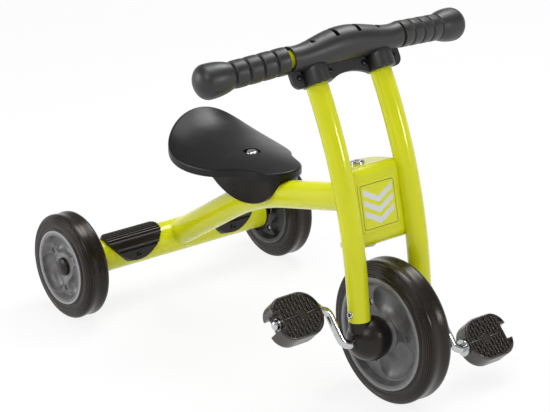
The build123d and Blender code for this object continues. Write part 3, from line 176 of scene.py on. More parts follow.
class Graph:
    """The node tree of one material, or of the world."""

    def __init__(self, tree: bpy.types.NodeTree) -> None:
        """Starts from an emptied tree."""
        self.tree = tree
        tree.nodes.clear()

    def node(self, kind: str, settings: Optional[Settings] = None, inputs: Optional[Inputs] = None) -> Made:
        """Adds a node.

        Args:
            kind: The node's Blender type.
            settings: Its properties, set first.
            inputs: Values or links for its sockets, by name or place.

        Returns:
            The node, with its outputs to read.
        """
        made = self.tree.nodes.new(kind)
        for name, value in (settings or {}).items():
            setattr(made, name, value)
        for name, value in (inputs or {}).items():
            self._feed(made.inputs[name], value)
        return Made(self, made)

    def _feed(self, socket: bpy.types.NodeSocket, value: object) -> None:
        """Links a socket to a value in the tree, or sets it to a constant.

        Args:
            socket: The input to feed.
            value: A value in the tree, a number, a vector or a colour.
        """
        if isinstance(value, Sock):
            self.tree.links.new(value.socket, socket)
        elif isinstance(value, tuple) and socket.type == "RGBA":
            socket.default_value = (*value, 1.0)
        else:
            socket.default_value = value

    def math(self, operation: str, *terms: Value) -> Sock:
        """One Math node."""
        return self.node("ShaderNodeMath", {"operation": operation}, dict(enumerate(terms))).out()

    def place(self) -> Sock:
        """The point on the surface, in the model's frame."""
        return self.node("ShaderNodeTexCoord").out("Object")

    def axes(self, shift: Vector = Vector(), turn: Point3 = (0.0, 0.0, 0.0)) -> tuple[Sock, Sock, Sock]:
        """The surface point's three coordinates, from a shifted and turned origin.

        Args:
            shift: Where the new origin lies.
            turn: How the new axes are turned, as Euler angles.

        Returns:
            The x, y and z values.
        """
        settings = {"vector_type": "TEXTURE"}
        inputs = {"Vector": self.place(), "Location": tuple(shift), "Rotation": turn}
        moved = self.node("ShaderNodeMapping", settings, inputs).out()
        split = self.node("ShaderNodeSeparateXYZ", inputs={0: moved})
        return split.out("X"), split.out("Y"), split.out("Z")

    def noise(self, size: float, detail: float = 2.0, roughness: float = 0.5) -> Sock:
        """Soft noise whose blotches are about the given size across, in metres."""
        inputs = {"Vector": self.place(), "Scale": 1.0 / size, "Detail": detail, "Roughness": roughness}
        return self.node("ShaderNodeTexNoise", inputs=inputs).out()

    def cells(self, size: float) -> Sock:
        """Distance to the nearest of scattered points, spaced by about the given size."""
        inputs = {"Vector": self.place(), "Scale": 1.0 / size}
        return self.node("ShaderNodeTexVoronoi", {"feature": "F1"}, inputs).out("Distance")

    def blend(self, share: Value, first: object, second: object) -> Sock:
        """A colour between two colours."""
        inputs = {MIX_SHARE: share, MIX_FIRST: first, MIX_SECOND: second}
        return self.node("ShaderNodeMix", {"data_type": "RGBA"}, inputs).out(MIX_RESULT)

    def mix_shaders(self, share: Value, first: Made, second: Made) -> Sock:
        """A shader between two shaders."""
        inputs = {0: share, 1: first.out(), 2: second.out()}
        return self.node("ShaderNodeMixShader", inputs=inputs).out()

    def relief(self, height: Sock, depth: float, strength: float, edge: float) -> Sock:
        """A surface normal that rounds sharp edges and is tilted by a height.

        Args:
            height: The height, from 0 to 1.
            depth: What a height of 1 stands for, in metres.
            strength: How much of the tilt is kept.
            edge: The radius that edges are rounded by.

        Returns:
            The normal.
        """
        rounded = self.node("ShaderNodeBevel", {"samples": EDGE_SAMPLES}, {"Radius": edge}).out()
        inputs = {"Height": height, "Distance": depth, "Strength": strength, "Normal": rounded}
        return self.node("ShaderNodeBump", inputs=inputs).out()

    def surface(self, inputs: Inputs) -> None:
        """Ends the tree in one principled shader."""
        shader = self.node("ShaderNodeBsdfPrincipled", inputs=inputs)
        self.node("ShaderNodeOutputMaterial", inputs={"Surface": shader.out()})


@dataclass(frozen=True)
class Finish:
    """A surface finish: two colours in soft patches, uneven roughness, and fine grain over rounded edges.

    The spans are the noise values between which the colour and the roughness change. A noise is given by its
    detail and its roughness.
    """

    name: str
    colour: Colour = LIME
    patch_colour: Colour = LIME
    colour_span: Point2 = (0.45, 0.8)
    rough: Point2 = (0.05, 0.11)
    rough_span: Point2 = (0.3, 0.75)
    patch: float = 16 * MM
    patch_noise: Point2 = (4.0, 0.6)
    grain: float = 0.5 * MM
    grain_noise: Point2 = (2.0, 0.5)
    grain_depth: float = 0.01 * MM
    grain_strength: float = 0.5
    edge: float = 0.5 * MM
    gloss: float = 0.5
    tint: Colour = WHITE
    metal: float = 0.0

    def material(self) -> bpy.types.Material:
        """Makes the finish's material.

        Returns:
            The new material.
        """
        made = bpy.data.materials.new(self.name)
        made.use_nodes = True
        self.paint(Graph(made.node_tree))
        return made

    def paint(self, graph: Graph) -> None:
        """Fills the node tree.

        Args:
            graph: The empty node tree.
        """
        patches = graph.noise(self.patch, *self.patch_noise)
        graph.surface({
            "Roughness": patches.ease(*self.rough_span, *self.rough),
            "Normal": graph.relief(self.height(graph), self.grain_depth, self.grain_strength, self.edge),
            "Specular IOR Level": self.gloss,
            "Specular Tint": self.tint,
            "Metallic": self.metal,
            **self.tones(graph, patches),
        })

    def height(self, graph: Graph) -> Sock:
        """The height of the grain, from 0 to 1."""
        return graph.noise(self.grain, *self.grain_noise)

    def tones(self, graph: Graph, patches: Sock) -> Inputs:
        """The shader's colour, and any other input that a kind of finish has for itself."""
        return {"Base Color": graph.blend(patches.ease(*self.colour_span), self.colour, self.patch_colour)}


@dataclass(frozen=True)
class PowderCoat(Finish):
    """Gloss powder coat on steel tube, with a faint orange peel under a clear top layer."""

    patch_colour: Colour = (0.65, 0.67, 0.008)
    colour_span: Point2 = (0.35, 0.75)
    rough: Point2 = (0.20, 0.25)
    rough_span: Point2 = (0.3, 0.8)
    patch: float = 14 * MM
    grain: float = 1.6 * MM
    grain_noise: Point2 = (1.0, 0.5)
    grain_depth: float = 0.008 * MM
    grain_strength: float = 0.3
    edge: float = 0.8 * MM
    gloss: float = 0.2
    coat: float = 0.35
    coat_rough: float = 0.05
    drift: float = 60 * MM

    def tones(self, graph: Graph, patches: Sock) -> Inputs:
        """A colour that drifts more broadly than the patches, and the top layer."""
        drift = graph.noise(self.drift, detail=1.0)
        return {**super().tones(graph, drift), "Coat Weight": self.coat, "Coat Roughness": self.coat_rough}


@dataclass(frozen=True)
class MouldedPlastic(Finish):
    """Tough moulded plastic, scuffed a little, with the fine grain of an eroded mould."""

    colour: Colour = (0.0120, 0.0098, 0.0088)
    patch_colour: Colour = (0.0165, 0.0142, 0.0130)
    colour_span: Point2 = (0.5, 0.85)
    rough: Point2 = (0.27, 0.35)
    patch: float = 22 * MM
    patch_noise: Point2 = (5.0, 0.65)
    grain: float = 0.55 * MM
    grain_noise: Point2 = (2.0, 0.6)
    grain_depth: float = 0.06 * MM
    grain_strength: float = 0.7
    edge: float = 1.0 * MM
    gloss: float = 0.3
    tint: Colour = WARM_GLOSS
    grain_share: float = 0.6
    pit_spread: float = 1.6

    def height(self, graph: Graph) -> Sock:
        """The grain, with scattered pits in it."""
        pits = graph.cells(self.grain * self.pit_spread)
        return super().height(graph) * self.grain_share + pits * (1.0 - self.grain_share)


@dataclass(frozen=True)
class HubPlastic(Finish):
    """Silver-grey plastic of a dished hub: a painted highlight on its lip, and painted shade, in patches, in
    the dish.
    """

    # colour is the painted shade in the dish, patch_colour the plastic's own grey, and pale the painted
    # highlight on the lip.
    colour: Colour = (0.097, 0.094, 0.096)
    patch_colour: Colour = (0.150, 0.147, 0.151)
    pale: Colour = (0.215, 0.212, 0.216)
    colour_span: Point2 = (0.3, 0.75)
    rough: Point2 = (0.34, 0.44)
    patch_noise: Point2 = (5.0, 0.6)
    grain: float = 0.6 * MM
    grain_noise: Point2 = (2.0, 0.6)
    grain_depth: float = 0.03 * MM
    grain_strength: float = 0.6
    edge: float = 1.2 * MM
    metal: float = 0.2
    centre: Vector = Vector()
    lip: float = 79 * MM
    lip_width: float = 3.5 * MM
    lip_fade: float = 0.6 * MM
    boss: Point2 = (18 * MM, 30 * MM)

    def tones(self, graph: Graph, patches: Sock) -> Inputs:
        """A colour for each zone of the hub's radius: a painted highlight on the lip, painted shade in the
        dish, and plain grey round the boss.

        Args:
            graph: The node tree.
            patches: The noise that the roughness and the patches of painted shade in the dish follow.

        Returns:
            The shader's colour.
        """
        along, _, up = graph.axes(self.centre)
        radius = (along * along + up * up).sqrt()
        lip_start = self.lip - self.lip_width
        # Painted highlight: the lip is paler than the rest of the hub.
        lip = radius.ease(lip_start - self.lip_fade, lip_start)
        boss = radius.ease(*self.boss, 1.0, 0.0)
        # Painted shade: darker in the dish, in patches, and plain grey round the boss.
        share = (patches.ease(*self.colour_span) + boss).least(1.0)
        dish = graph.blend(share, self.colour, self.patch_colour)
        return {"Base Color": graph.blend(lip, dish, self.pale)}


@dataclass(frozen=True)
class TyreRubber(Finish):
    """Dense dark rubber, satin with a dusty bloom in patches."""

    colour: Colour = (0.0110, 0.0082, 0.0068)
    patch_colour: Colour = (0.0155, 0.0122, 0.0104)
    colour_span: Point2 = (0.4, 0.8)
    rough: Point2 = (0.24, 0.34)
    rough_span: Point2 = (0.3, 0.8)
    patch: float = 30 * MM
    grain: float = 0.8 * MM
    grain_depth: float = 0.05 * MM
    edge: float = 0.25 * MM
    gloss: float = 0.3
    tint: Colour = WARM_GLOSS


@dataclass(frozen=True)
class Plated(Finish):
    """Plated steel with smudges in its gloss, from mirror chrome to dull zinc, which has a deeper grain."""

    colour: Colour = (0.54, 0.55, 0.55)
    patch_colour: Colour = (0.44, 0.45, 0.45)
    patch: float = 9 * MM
    grain: float = 0.4 * MM
    metal: float = 1.0


@dataclass(frozen=True)
class PrintedLabel(Finish):
    """A gloss label in the frame's colour, printed with a dark frame line and silver chevrons."""

    rough: Point2 = (0.26, 0.36)
    rough_span: Point2 = (0.3, 0.7)
    patch: float = 25 * MM
    patch_noise: Point2 = (2.0, 0.5)
    grain_depth: float = 0.006 * MM
    grain_strength: float = 0.4
    edge: float = 0.4 * MM
    centre: Vector = Vector()
    rake: float = 0.0
    half: Point2 = (33 * MM, 34 * MM)
    corner: float = 7 * MM
    line_inset: float = 4 * MM
    line_width: float = 0.9 * MM
    frame_ink: Colour = (0.06, 0.065, 0.03)
    silver: Colour = (0.60, 0.61, 0.62)
    silver_metal: float = 0.7
    chevrons: int = 3
    pitch: float = 14.5 * MM
    gap: float = 0.42
    lowest: float = -29 * MM
    slope: float = 0.55
    reach: float = 25 * MM

    def tones(self, graph: Graph, patches: Sock) -> Inputs:
        """Prints the label: chevrons that point down inside a rounded frame line.

        Args:
            graph: The node tree.
            patches: The noise of the gloss; not used, as the print doesn't follow it.

        Returns:
            The shader's colour, and metal where the silver is.
        """
        _, across, up = graph.axes(self.centre, (0.0, -self.rake, 0.0))
        over_y = (abs(across) - (self.half[0] - self.corner)).most(0.0)
        over_z = (abs(up) - (self.half[1] - self.corner)).most(0.0)
        edge = (abs(across) - self.half[0]).most(abs(up) - self.half[1])
        rounded = (over_y * over_y + over_z * over_z).sqrt() - self.corner
        inside = 0.0 - edge.most(rounded)
        frame_line = abs(inside - self.line_inset) < self.line_width / 2
        level = up - abs(across) * self.slope
        band = (level - self.lowest).cycle(self.pitch) > self.gap
        tall = (level > self.lowest) * (level < self.lowest + self.chevrons * self.pitch)
        chevrons = band * tall * (abs(across) < self.reach)
        printed = graph.blend(chevrons, self.colour, self.silver)
        return {"Base Color": graph.blend(frame_line, printed, self.frame_ink),
                "Metallic": chevrons * self.silver_metal}


@dataclass
class Blank:
    """A mesh under construction, made into a finished piece at the end."""

    mesh: bmesh.types.BMesh = field(default_factory=bmesh.new)
    crease: float = 0.6

    def turn(self, section: Sequence[Point2], centre: Vector, axis: Vector, out: Vector, steps: int,
             closed: bool = False) -> None:
        """Spins a section a full turn about an axis.

        Args:
            section: Points as distance along the axis and from it.
            centre: The point of the axis where those distances start.
            axis: The axis direction.
            out: The direction from the axis in which the section is laid.
            steps: How many segments the turn has.
            closed: Whether the section's last point joins its first.
        """
        verts = [self.mesh.verts.new(centre + axis * along + out * radius) for along, radius in section]
        edges = [self.mesh.edges.new(pair) for pair in zip(verts, verts[1:])]
        if closed:
            edges.append(self.mesh.edges.new((verts[-1], verts[0])))
        bmesh.ops.spin(self.mesh, geom=[*verts, *edges], cent=centre, axis=axis, angle=TAU, steps=steps,
                       use_merge=True)
        bmesh.ops.remove_doubles(self.mesh, verts=self.mesh.verts, dist=MERGE_DISTANCE)

    def ring(self, place: Matrix, radius: float, segments: int,
             filled: bool = False) -> list[bmesh.types.BMEdge]:
        """Adds a ring of edges.

        Args:
            place: The ring's middle and axes, with Z along its own axis.
            radius: Its radius.
            segments: How many edges it has.
            filled: Whether a face closes it.

        Returns:
            The ring's edges.
        """
        made = bmesh.ops.create_circle(self.mesh, cap_ends=filled, radius=radius, segments=segments,
                                       matrix=place)
        return list(dict.fromkeys(edge for vert in made["verts"] for edge in vert.link_edges))

    def block(self, place: Matrix, size: Vector) -> None:
        """Adds a block of the given size, centred on a place."""
        bmesh.ops.create_cube(self.mesh, size=1.0, matrix=place @ Matrix.Diagonal((*size, 1.0)))

    def soften(self, width: float, segments: int, angle: float = 0.45) -> None:
        """Bevels every edge that is sharper than an angle.

        Args:
            width: The bevel's width.
            segments: How many faces the bevel has.
            angle: The angle, in radians.
        """
        bmesh.ops.recalc_face_normals(self.mesh, faces=self.mesh.faces)
        sharp = [edge for edge in self.mesh.edges if edge.is_manifold and edge.calc_face_angle(0.0) > angle]
        bmesh.ops.bevel(self.mesh, geom=sharp, offset=width, offset_type="OFFSET", affect="EDGES",
                        segments=segments, profile=0.5, material=-1, clamp_overlap=True)

    def finish(self, name: str, body: str, slot: Slot, material: bpy.types.Material,
               stands_for: Iterable[str] = ()) -> None:
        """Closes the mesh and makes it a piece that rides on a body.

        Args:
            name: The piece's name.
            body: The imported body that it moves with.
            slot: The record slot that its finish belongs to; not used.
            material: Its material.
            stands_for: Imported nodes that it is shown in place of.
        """
        bmesh.ops.recalc_face_normals(self.mesh, faces=self.mesh.faces)
        for face in self.mesh.faces:
            face.smooth = True
        for edge in self.mesh.edges:
            edge.smooth = not edge.is_manifold or edge.calc_face_angle(0.0) < self.crease
        data = bpy.data.meshes.new(name)
        self.mesh.to_mesh(data)
        self.mesh.free()
        data.materials.append(material)
        piece = bpy.data.objects.new(name, data)
        bpy.context.scene.collection.objects.link(piece)
        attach(piece, body)
        nodes = list(stands_for)
        if nodes:
            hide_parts(*nodes)
        log.info("piece %s rides on %s, %d faces", name, body, len(data.polygons))


@dataclass(frozen=True)
class WheelSize:
    """A wheel's tread radius, half width and hub radius."""

    outer: float
    half: float
    hub: float


@dataclass(frozen=True)
class Layout:
    """Points, directions and sizes that several sub-assemblies share, in metres."""

    front_axle: Vector = Vector((239.5, 0.0, 100.0)) * MM
    rear_axle: Vector = Vector((-260.5, 0.0, 79.0)) * MM
    half_track: float = 191 * MM
    front_wheel: WheelSize = WheelSize(100 * MM, 22.5 * MM, 79 * MM)
    rear_wheel: WheelSize = WheelSize(79 * MM, 20.5 * MM, 56 * MM)
    leg_lean: float = math.radians(7.0)
    fork_bend: float = math.radians(23.5)
    bend_radius: float = 680 * MM
    leg_run: float = 75 * MM
    top_run: float = 36 * MM
    bar_lead: float = 9 * MM
    fork_half_spacing: float = 55 * MM
    head_rake: float = math.radians(12.8)

    @property
    def top_lean(self) -> float:
        """How far the fork's top leans back from upright."""
        return self.leg_lean + self.fork_bend

    @property
    def fork_up(self) -> Vector:
        """Along the fork's straight top."""
        return Vector((-math.sin(self.top_lean), 0.0, math.cos(self.top_lean)))

    @property
    def fork_front(self) -> Vector:
        """Square to the fork's top, forward."""
        return Vector((math.cos(self.top_lean), 0.0, math.sin(self.top_lean)))

    @property
    def leg_up(self) -> Vector:
        """Along the fork's straight leg."""
        return Vector((-math.sin(self.leg_lean), 0.0, math.cos(self.leg_lean)))

    @property
    def fork_top(self) -> Vector:
        """The end of the fork tubes' centreline, in the middle plane.

        Returns:
            The point.
        """
        across = Vector((math.cos(self.top_lean) - math.cos(self.leg_lean), 0.0,
                         math.sin(self.top_lean) - math.sin(self.leg_lean)))
        bend_end = self.front_axle + self.leg_up * self.leg_run + across * self.bend_radius
        return bend_end + self.fork_up * self.top_run

    @property
    def bar(self) -> Vector:
        """The middle of the handlebar."""
        return self.fork_top + self.fork_front * self.bar_lead

    def at(self, point: Vector, side: Side, y: float) -> Vector:
        """The point moved out to one side by a distance."""
        return Vector((point.x, side.value * y, point.z))


def bow(start: Point2, end: Point2, bulge: float, steps: int) -> list[Point2]:
    """Points of a shallow bow between two points of a section.

    Args:
        start: Where the bow starts.
        end: Where it ends.
        bulge: How far its middle stands off the straight line, to the left of the way along.
        steps: How many points it gets.

    Returns:
        The points after the start, the end included.
    """
    dx, dy = end[0] - start[0], end[1] - start[1]
    length = math.hypot(dx, dy)
    points = []
    for step in range(1, steps + 1):
        share = step / steps
        lift = bulge * 4.0 * share * (1.0 - share) / length
        points.append((start[0] + dx * share - dy * lift, start[1] + dy * share + dx * lift))
    return points


def dome(start: float, rise: float, radius: float, steps: int) -> list[Point2]:
    """Points of a quarter round that closes a section on its axis.

    Args:
        start: Distance along the axis where the quarter starts.
        rise: How far it goes along the axis.
        radius: Its radius at the start.
        steps: How many points it gets.

    Returns:
        The points after the start, with the last one on the axis.
    """
    turns = [QUARTER * step / steps for step in range(1, steps)]
    points = [(start + rise * math.sin(turn), radius * math.cos(turn)) for turn in turns]
    return points + [(start + rise, 0.0)]


@dataclass
class Tyre:
    """A solid rubber tyre: rolled bead, bowed wall, fine grooves round the shoulder and a shallow valley."""

    node: str
    body: str
    centre: Vector
    size: WheelSize
    clearance: float = 0.02 * MM
    rim_lip: float = 5 * MM
    lip_width: float = 5.5 * MM
    bead: float = 4 * MM
    bead_bulge: float = 1.3 * MM
    bead_step: float = 0.3 * MM
    bead_points: int = 6
    wall_inset: float = 1.5 * MM
    wall_bulge: float = 0.5 * MM
    wall_points: int = 8
    shoulder: float = 11.5 * MM
    rings: int = 4
    ring_share: float = 0.72
    ring_points: int = 12
    groove: float = 0.8 * MM
    groove_power: int = 3
    crest_share: float = 0.5
    valley: float = 1.2 * MM
    valley_points: int = 7
    steps: int = 144

    def wall_line(self, wall: float) -> list[Point2]:
        """The bore, the seat on the rim, the bead and the side wall.

        Args:
            wall: The wall's distance from the middle plane.

        Returns:
            Points as distance from the middle plane and radius.
        """
        bore = self.size.hub - self.rim_lip + self.clearance
        channel = self.size.half - self.lip_width - self.clearance
        lip = self.size.hub + self.clearance
        top = lip + self.bead
        points = [(0.0, bore), (channel, bore), (channel, lip), (wall, lip)]
        points += bow(points[-1], (wall, top), -self.bead_bulge, self.bead_points)
        return points + bow((wall - self.bead_step, top), (wall, self.size.outer - self.shoulder),
                            -self.wall_bulge, self.wall_points)

    def shoulder_line(self, wall: float, crest: float) -> list[Point2]:
        """The round shoulder with its fine grooves.

        Args:
            wall: The wall's distance from the middle plane.
            crest: The distance of the tread's crest from it.

        Returns:
            Points as distance from the middle plane and radius.
        """
        low = self.size.outer - self.shoulder
        turns = self.ring_points * self.rings
        points = []
        for step in range(1, turns + 1):
            share = step / turns
            turn = QUARTER * share
            phase = TAU * self.rings * min(share / self.ring_share, 1.0)
            dip = self.groove * (0.5 - 0.5 * math.cos(phase)) ** self.groove_power
            points.append((crest + (wall - crest - dip) * math.cos(turn),
                           low + (self.shoulder - dip) * math.sin(turn)))
        return points

    def valley_line(self, crest: float) -> list[Point2]:
        """The tread from its crest down to the valley in its middle.

        Args:
            crest: The crest's distance from the middle plane.

        Returns:
            Points as distance from the middle plane and radius.
        """
        points = []
        for step in range(1, self.valley_points + 1):
            share = step / self.valley_points
            fall = share * share * (3.0 - 2.0 * share)
            points.append((crest * (1.0 - share), self.size.outer - self.valley * fall))
        return points

    def build(self, wardrobe: "Wardrobe") -> None:
        """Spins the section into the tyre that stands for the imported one.

        Args:
            wardrobe: The finishes.
        """
        wall = self.size.half - self.wall_inset
        crest = self.size.half * self.crest_share
        near = self.wall_line(wall) + self.shoulder_line(wall, crest) + self.valley_line(crest)
        section = near + [(-side, radius) for side, radius in near[-2:0:-1]]
        across, up = Vector((0.0, 1.0, 0.0)), Vector((0.0, 0.0, 1.0))
        blank = Blank()
        blank.turn(section, self.centre, across, up, self.steps, closed=True)
        blank.finish(f"{self.node}_moulding", self.body, Slot.RUBBER, wardrobe.made[Slot.RUBBER],
                     [self.node])


@dataclass
class Grip:
    """A ringed rubber grip that flares to a rounded end."""

    side: Side
    layout: Layout
    corner: float = 85 * MM
    sweep: float = math.radians(10.5)
    start: float = 11.19 * MM
    bore: float = 12.52 * MM
    bore_end: float = 118.1 * MM
    radius: float = 18.3 * MM
    bands: int = 4
    pitch: float = 20.6 * MM
    edge_drop: float = 0.9 * MM
    edge_run: float = 1.2 * MM
    edge_points: int = 3
    crown: float = 0.25 * MM
    crown_points: int = 6
    groove: float = 3.2 * MM
    groove_depth: float = 2.0 * MM
    neck_run: float = 1.4 * MM
    flare: float = 34 * MM
    flare_points: int = 12
    fullness: float = 2.4
    bulb: float = 23.5 * MM
    end: float = 17.5 * MM
    end_points: int = 14
    steps: int = 64

    def band_line(self) -> list[Point2]:
        """The bore's mouth and the crowned bands, each with the groove after it.

        Returns:
            Points as distance along the grip's axis and radius.
        """
        edge = self.radius - self.edge_drop
        points = [(self.start, self.bore), (self.start, edge)]
        for band in range(self.bands):
            low = self.start + band * self.pitch
            high = low + self.pitch - self.groove
            crest, fall = (low + self.edge_run, self.radius), (high - self.edge_run, self.radius)
            points += bow((low, edge), crest, self.crown, self.edge_points)
            points += bow(crest, fall, self.crown, self.crown_points)
            points += bow(fall, (high, edge), self.crown, self.edge_points)
            points += bow((high, edge), (high + self.groove, edge), -self.groove_depth, self.crown_points)
        return points

    def bulb_line(self, neck: Point2) -> list[Point2]:
        """The flare, the rounded end and the bore's end.

        Args:
            neck: Where the last groove ends.

        Returns:
            Points as distance along the grip's axis and radius.
        """
        shoulder = neck[0] + self.flare
        first = neck[0] + self.neck_run
        points = bow(neck, (first, self.radius), self.crown, self.edge_points)
        for step in range(1, self.flare_points + 1):
            share = step / self.flare_points
            rise = (self.bulb - self.radius) * (1.0 - (1.0 - share) ** self.fullness)
            points.append((first + (shoulder - first) * share, self.radius + rise))
        points += dome(shoulder, self.end, self.bulb, self.end_points)
        return points + [(self.bore_end, 0.0), (self.bore_end, self.bore)]

    def build(self, wardrobe: "Wardrobe") -> None:
        """Spins the section about the bar's swept end.

        Args:
            wardrobe: The finishes.
        """
        across = Vector((0.0, self.side.value, 0.0))
        out = across * math.cos(self.sweep) - self.layout.fork_front * math.sin(self.sweep)
        corner = self.layout.at(self.layout.bar, self.side, self.corner)
        bands = self.band_line()
        section = bands + self.bulb_line(bands[-1])
        blank = Blank()
        blank.turn(section, corner, out, self.layout.fork_up, self.steps, closed=True)
        name = f"grip_{self.side.label}"
        blank.finish(f"{name}_sleeve", "fork", Slot.BLACK, wardrobe.finish_of(name, Slot.BLACK), [name])


@dataclass
class CoverSocket:
    """The rounded socket of the handlebar cover where a fork tube goes in."""

    side: Side
    layout: Layout
    radius: float = 19.5 * MM
    lead: float = 4 * MM
    shoulder: float = 22 * MM
    foot: float = 39.8 * MM
    lip: float = 1.2 * MM
    lip_bulge: float = 0.36 * MM
    lip_points: int = 4
    dome_points: int = 12
    steps: int = 64

    def section(self) -> list[Point2]:
        """The socket's section, from its foot to the top of its dome.

        Returns:
            Points as distance below the fork's top and radius.
        """
        points = [(self.foot, 0.0), (self.foot, self.radius - self.lip)]
        points += bow(points[-1], (self.foot - self.lip, self.radius), self.lip_bulge, self.lip_points)
        points.append((self.shoulder, self.radius))
        return points + dome(self.shoulder, -self.radius, self.radius, self.dome_points)

    def build(self, wardrobe: "Wardrobe") -> None:
        """Spins the section about the line ahead of the fork tube's axis.

        Args:
            wardrobe: The finishes.
        """
        spots = self.layout
        up, front = spots.fork_up, spots.fork_front
        top = spots.at(spots.fork_top, self.side, spots.fork_half_spacing) + front * self.lead
        section = [(-below, radius) for below, radius in self.section()]
        blank = Blank()
        blank.turn(section, top, up, front, self.steps)
        blank.finish(f"cover_socket_{self.side.label}", "fork", Slot.BLACK,
                     wardrobe.finish_of("bar_cover_front", Slot.BLACK))


@dataclass
class PedalTread:
    """Rows of short staggered bars on both faces of a pedal, with a rib along the spindle."""

    side: Side
    layout: Layout
    crank_angle: float = math.radians(122.0)
    crank_radius: float = 55 * MM
    inner: float = 108 * MM
    tilt: float = math.radians(45.0)
    floor: float = 11.5 * MM
    start: float = 3 * MM
    end: float = 72.5 * MM
    half: float = 28.5 * MM
    inner_corner: float = 25 * MM
    outer_corner: float = 20 * MM
    notch: Point2 = (61.5 * MM, 14 * MM)
    boss: Point2 = (32.25 * MM, 6.5 * MM)
    rib: float = 1.0 * MM
    bar: Vector = Vector((2.9, 10.0, 2.1)) * MM
    pitch: Point2 = (5.6 * MM, 12.6 * MM)
    first_column: float = 0.7
    stagger: float = 0.5
    rows: int = 4
    margin: float = 1.0 * MM
    shortest: float = 2.5 * MM
    sunk: float = 0.1 * MM
    bevel: float = 0.8 * MM
    bevel_steps: int = 3

    def placing(self) -> Matrix:
        """The pedal's own axes: out along the spindle, across the tread and up from it.

        Returns:
            The matrix from the pedal's axes to the model's.
        """
        reach = Vector((math.cos(self.crank_angle), 0.0, math.sin(self.crank_angle))) * self.crank_radius
        spindle = self.layout.front_axle - reach * self.side.value
        normal = Vector((math.cos(self.tilt), 0.0, math.sin(self.tilt)))
        out = Vector((0.0, self.side.value, 0.0))
        turn = Matrix((out, normal.cross(out), normal)).transposed().to_4x4()
        return Matrix.Translation(self.layout.at(spindle, self.side, self.inner)) @ turn

    def span(self, along: float) -> Point2:
        """Where the tread's floor lies on either side of the spindle.

        Args:
            along: Distance out along the spindle.

        Returns:
            The nearest and the farthest distance from the spindle that a bar may reach, less a margin.
        """
        spread = self.bar.x / 2 + self.margin
        wide = self.half
        ends = ((self.inner_corner, along - spread - self.start),
                (self.outer_corner, self.end - along - spread))
        for corner, depth in ends:
            if depth < corner:
                fall = corner - max(depth, 0.0)
                wide = min(wide, self.half - corner + math.sqrt(corner * corner - fall * fall))
        near = self.rib
        if along + spread > self.notch[0]:
            near = self.notch[1]
        off_boss = max(abs(along - self.boss[0]) - self.bar.x / 2, 0.0)
        if off_boss < self.boss[1]:
            near = max(near, math.sqrt(self.boss[1] ** 2 - off_boss ** 2))
        return near + self.margin, wide - self.margin

    def bars(self) -> list[Point3]:
        """Every bar of one face.

        Returns:
            For each bar, its distance along the spindle and its two ends across the tread.
        """
        found = []
        for column in range(int((self.end - self.start) / self.pitch[0])):
            along = self.start + (column + self.first_column) * self.pitch[0]
            near, far = self.span(along)
            for row in range(-self.rows, self.rows):
                low = (row + column % 2 * self.stagger) * self.pitch[1]
                for face, first in ((1, low), (-1, -low - self.bar.y)):
                    last = min(first + self.bar.y, far)
                    first = max(first, near)
                    if last - first > self.shortest:
                        found.append((along, face * first, face * last))
        return found

    def ribs(self) -> tuple[Point2, Point2]:
        """The rib's two runs: from the inner end to the boss, and from there to the notch."""
        middle, radius = self.boss
        return (self.start, middle - radius), (middle + radius, self.notch[0])

    def build(self, wardrobe: "Wardrobe") -> None:
        """Sets the bars and the rib on both faces as one piece.

        Args:
            wardrobe: The finishes.
        """
        placing = self.placing()
        blank = Blank()
        for face in (1, -1):
            level = face * (self.floor + self.bar.z / 2 - self.sunk)
            for along, first, last in self.bars():
                spot = Matrix.Translation((along, (first + last) / 2, level))
                blank.block(placing @ spot, Vector((self.bar.x, abs(last - first), self.bar.z)))
            for first, last in self.ribs():
                spot = Matrix.Translation(((first + last) / 2, 0.0, level))
                size = Vector((last - first - self.margin, 2 * self.rib, self.bar.z))
                blank.block(placing @ spot, size)
        blank.soften(self.bevel, self.bevel_steps)
        blank.finish(f"pedal_tread_{self.side.label}", f"{self.side.label}_pedal", Slot.BLACK,
                     wardrobe.finish_of(f"pedal_{self.side.label}", Slot.BLACK))


@dataclass
class WeldBead:
    """The bead round the joint of the backbone with another tube, which lies across it or stands upright."""

    name: str
    start: Vector
    slope: float
    other: float
    upright: bool = False
    skew: float = 0.0
    tube: float = 20 * MM
    bead: float = 1.7 * MM
    ripple: float = 0.15 * MM
    ripple_steps: int = 4
    segments: int = 10
    steps: int = 144

    def line(self) -> list[Vector]:
        """The joint's line: points of the backbone's surface that lie on the other tube.

        Returns:
            The points of one round.
        """
        along = Vector((math.cos(self.slope), 0.0, math.sin(self.slope)))
        above = Vector((-math.sin(self.slope), 0.0, math.cos(self.slope)))
        points = []
        for step in range(self.steps):
            turn = TAU * step / self.steps
            rise, wide = self.tube * math.cos(turn), self.tube * math.sin(turn)
            off_axis = wide if self.upright else rise
            reach = math.sqrt(max(self.other ** 2 - off_axis ** 2, 0.0)) + rise * math.sin(self.skew)
            points.append(self.start + along * reach + above * rise + Vector((0.0, wide, 0.0)))
        return points

    def build(self, wardrobe: "Wardrobe") -> None:
        """Lays rings along the joint's line and bridges them into a rippled bead.

        Args:
            wardrobe: The finishes.
        """
        blank = Blank()
        line = self.line()
        rings = []
        for index, point in enumerate(line):
            ahead = line[(index + 1) % len(line)] - line[index - 1]
            place = Matrix.Translation(point) @ ahead.to_track_quat("Z", "Y").to_matrix().to_4x4()
            radius = self.bead + self.ripple * math.sin(index * TAU / self.ripple_steps)
            rings.append(blank.ring(place, radius, self.segments))
        for first, second in zip(rings, rings[1:] + rings[:1]):
            bmesh.ops.bridge_loops(blank.mesh, edges=first + second)
        blank.finish(self.name, "frame", Slot.LIME, wardrobe.made[Slot.LIME])


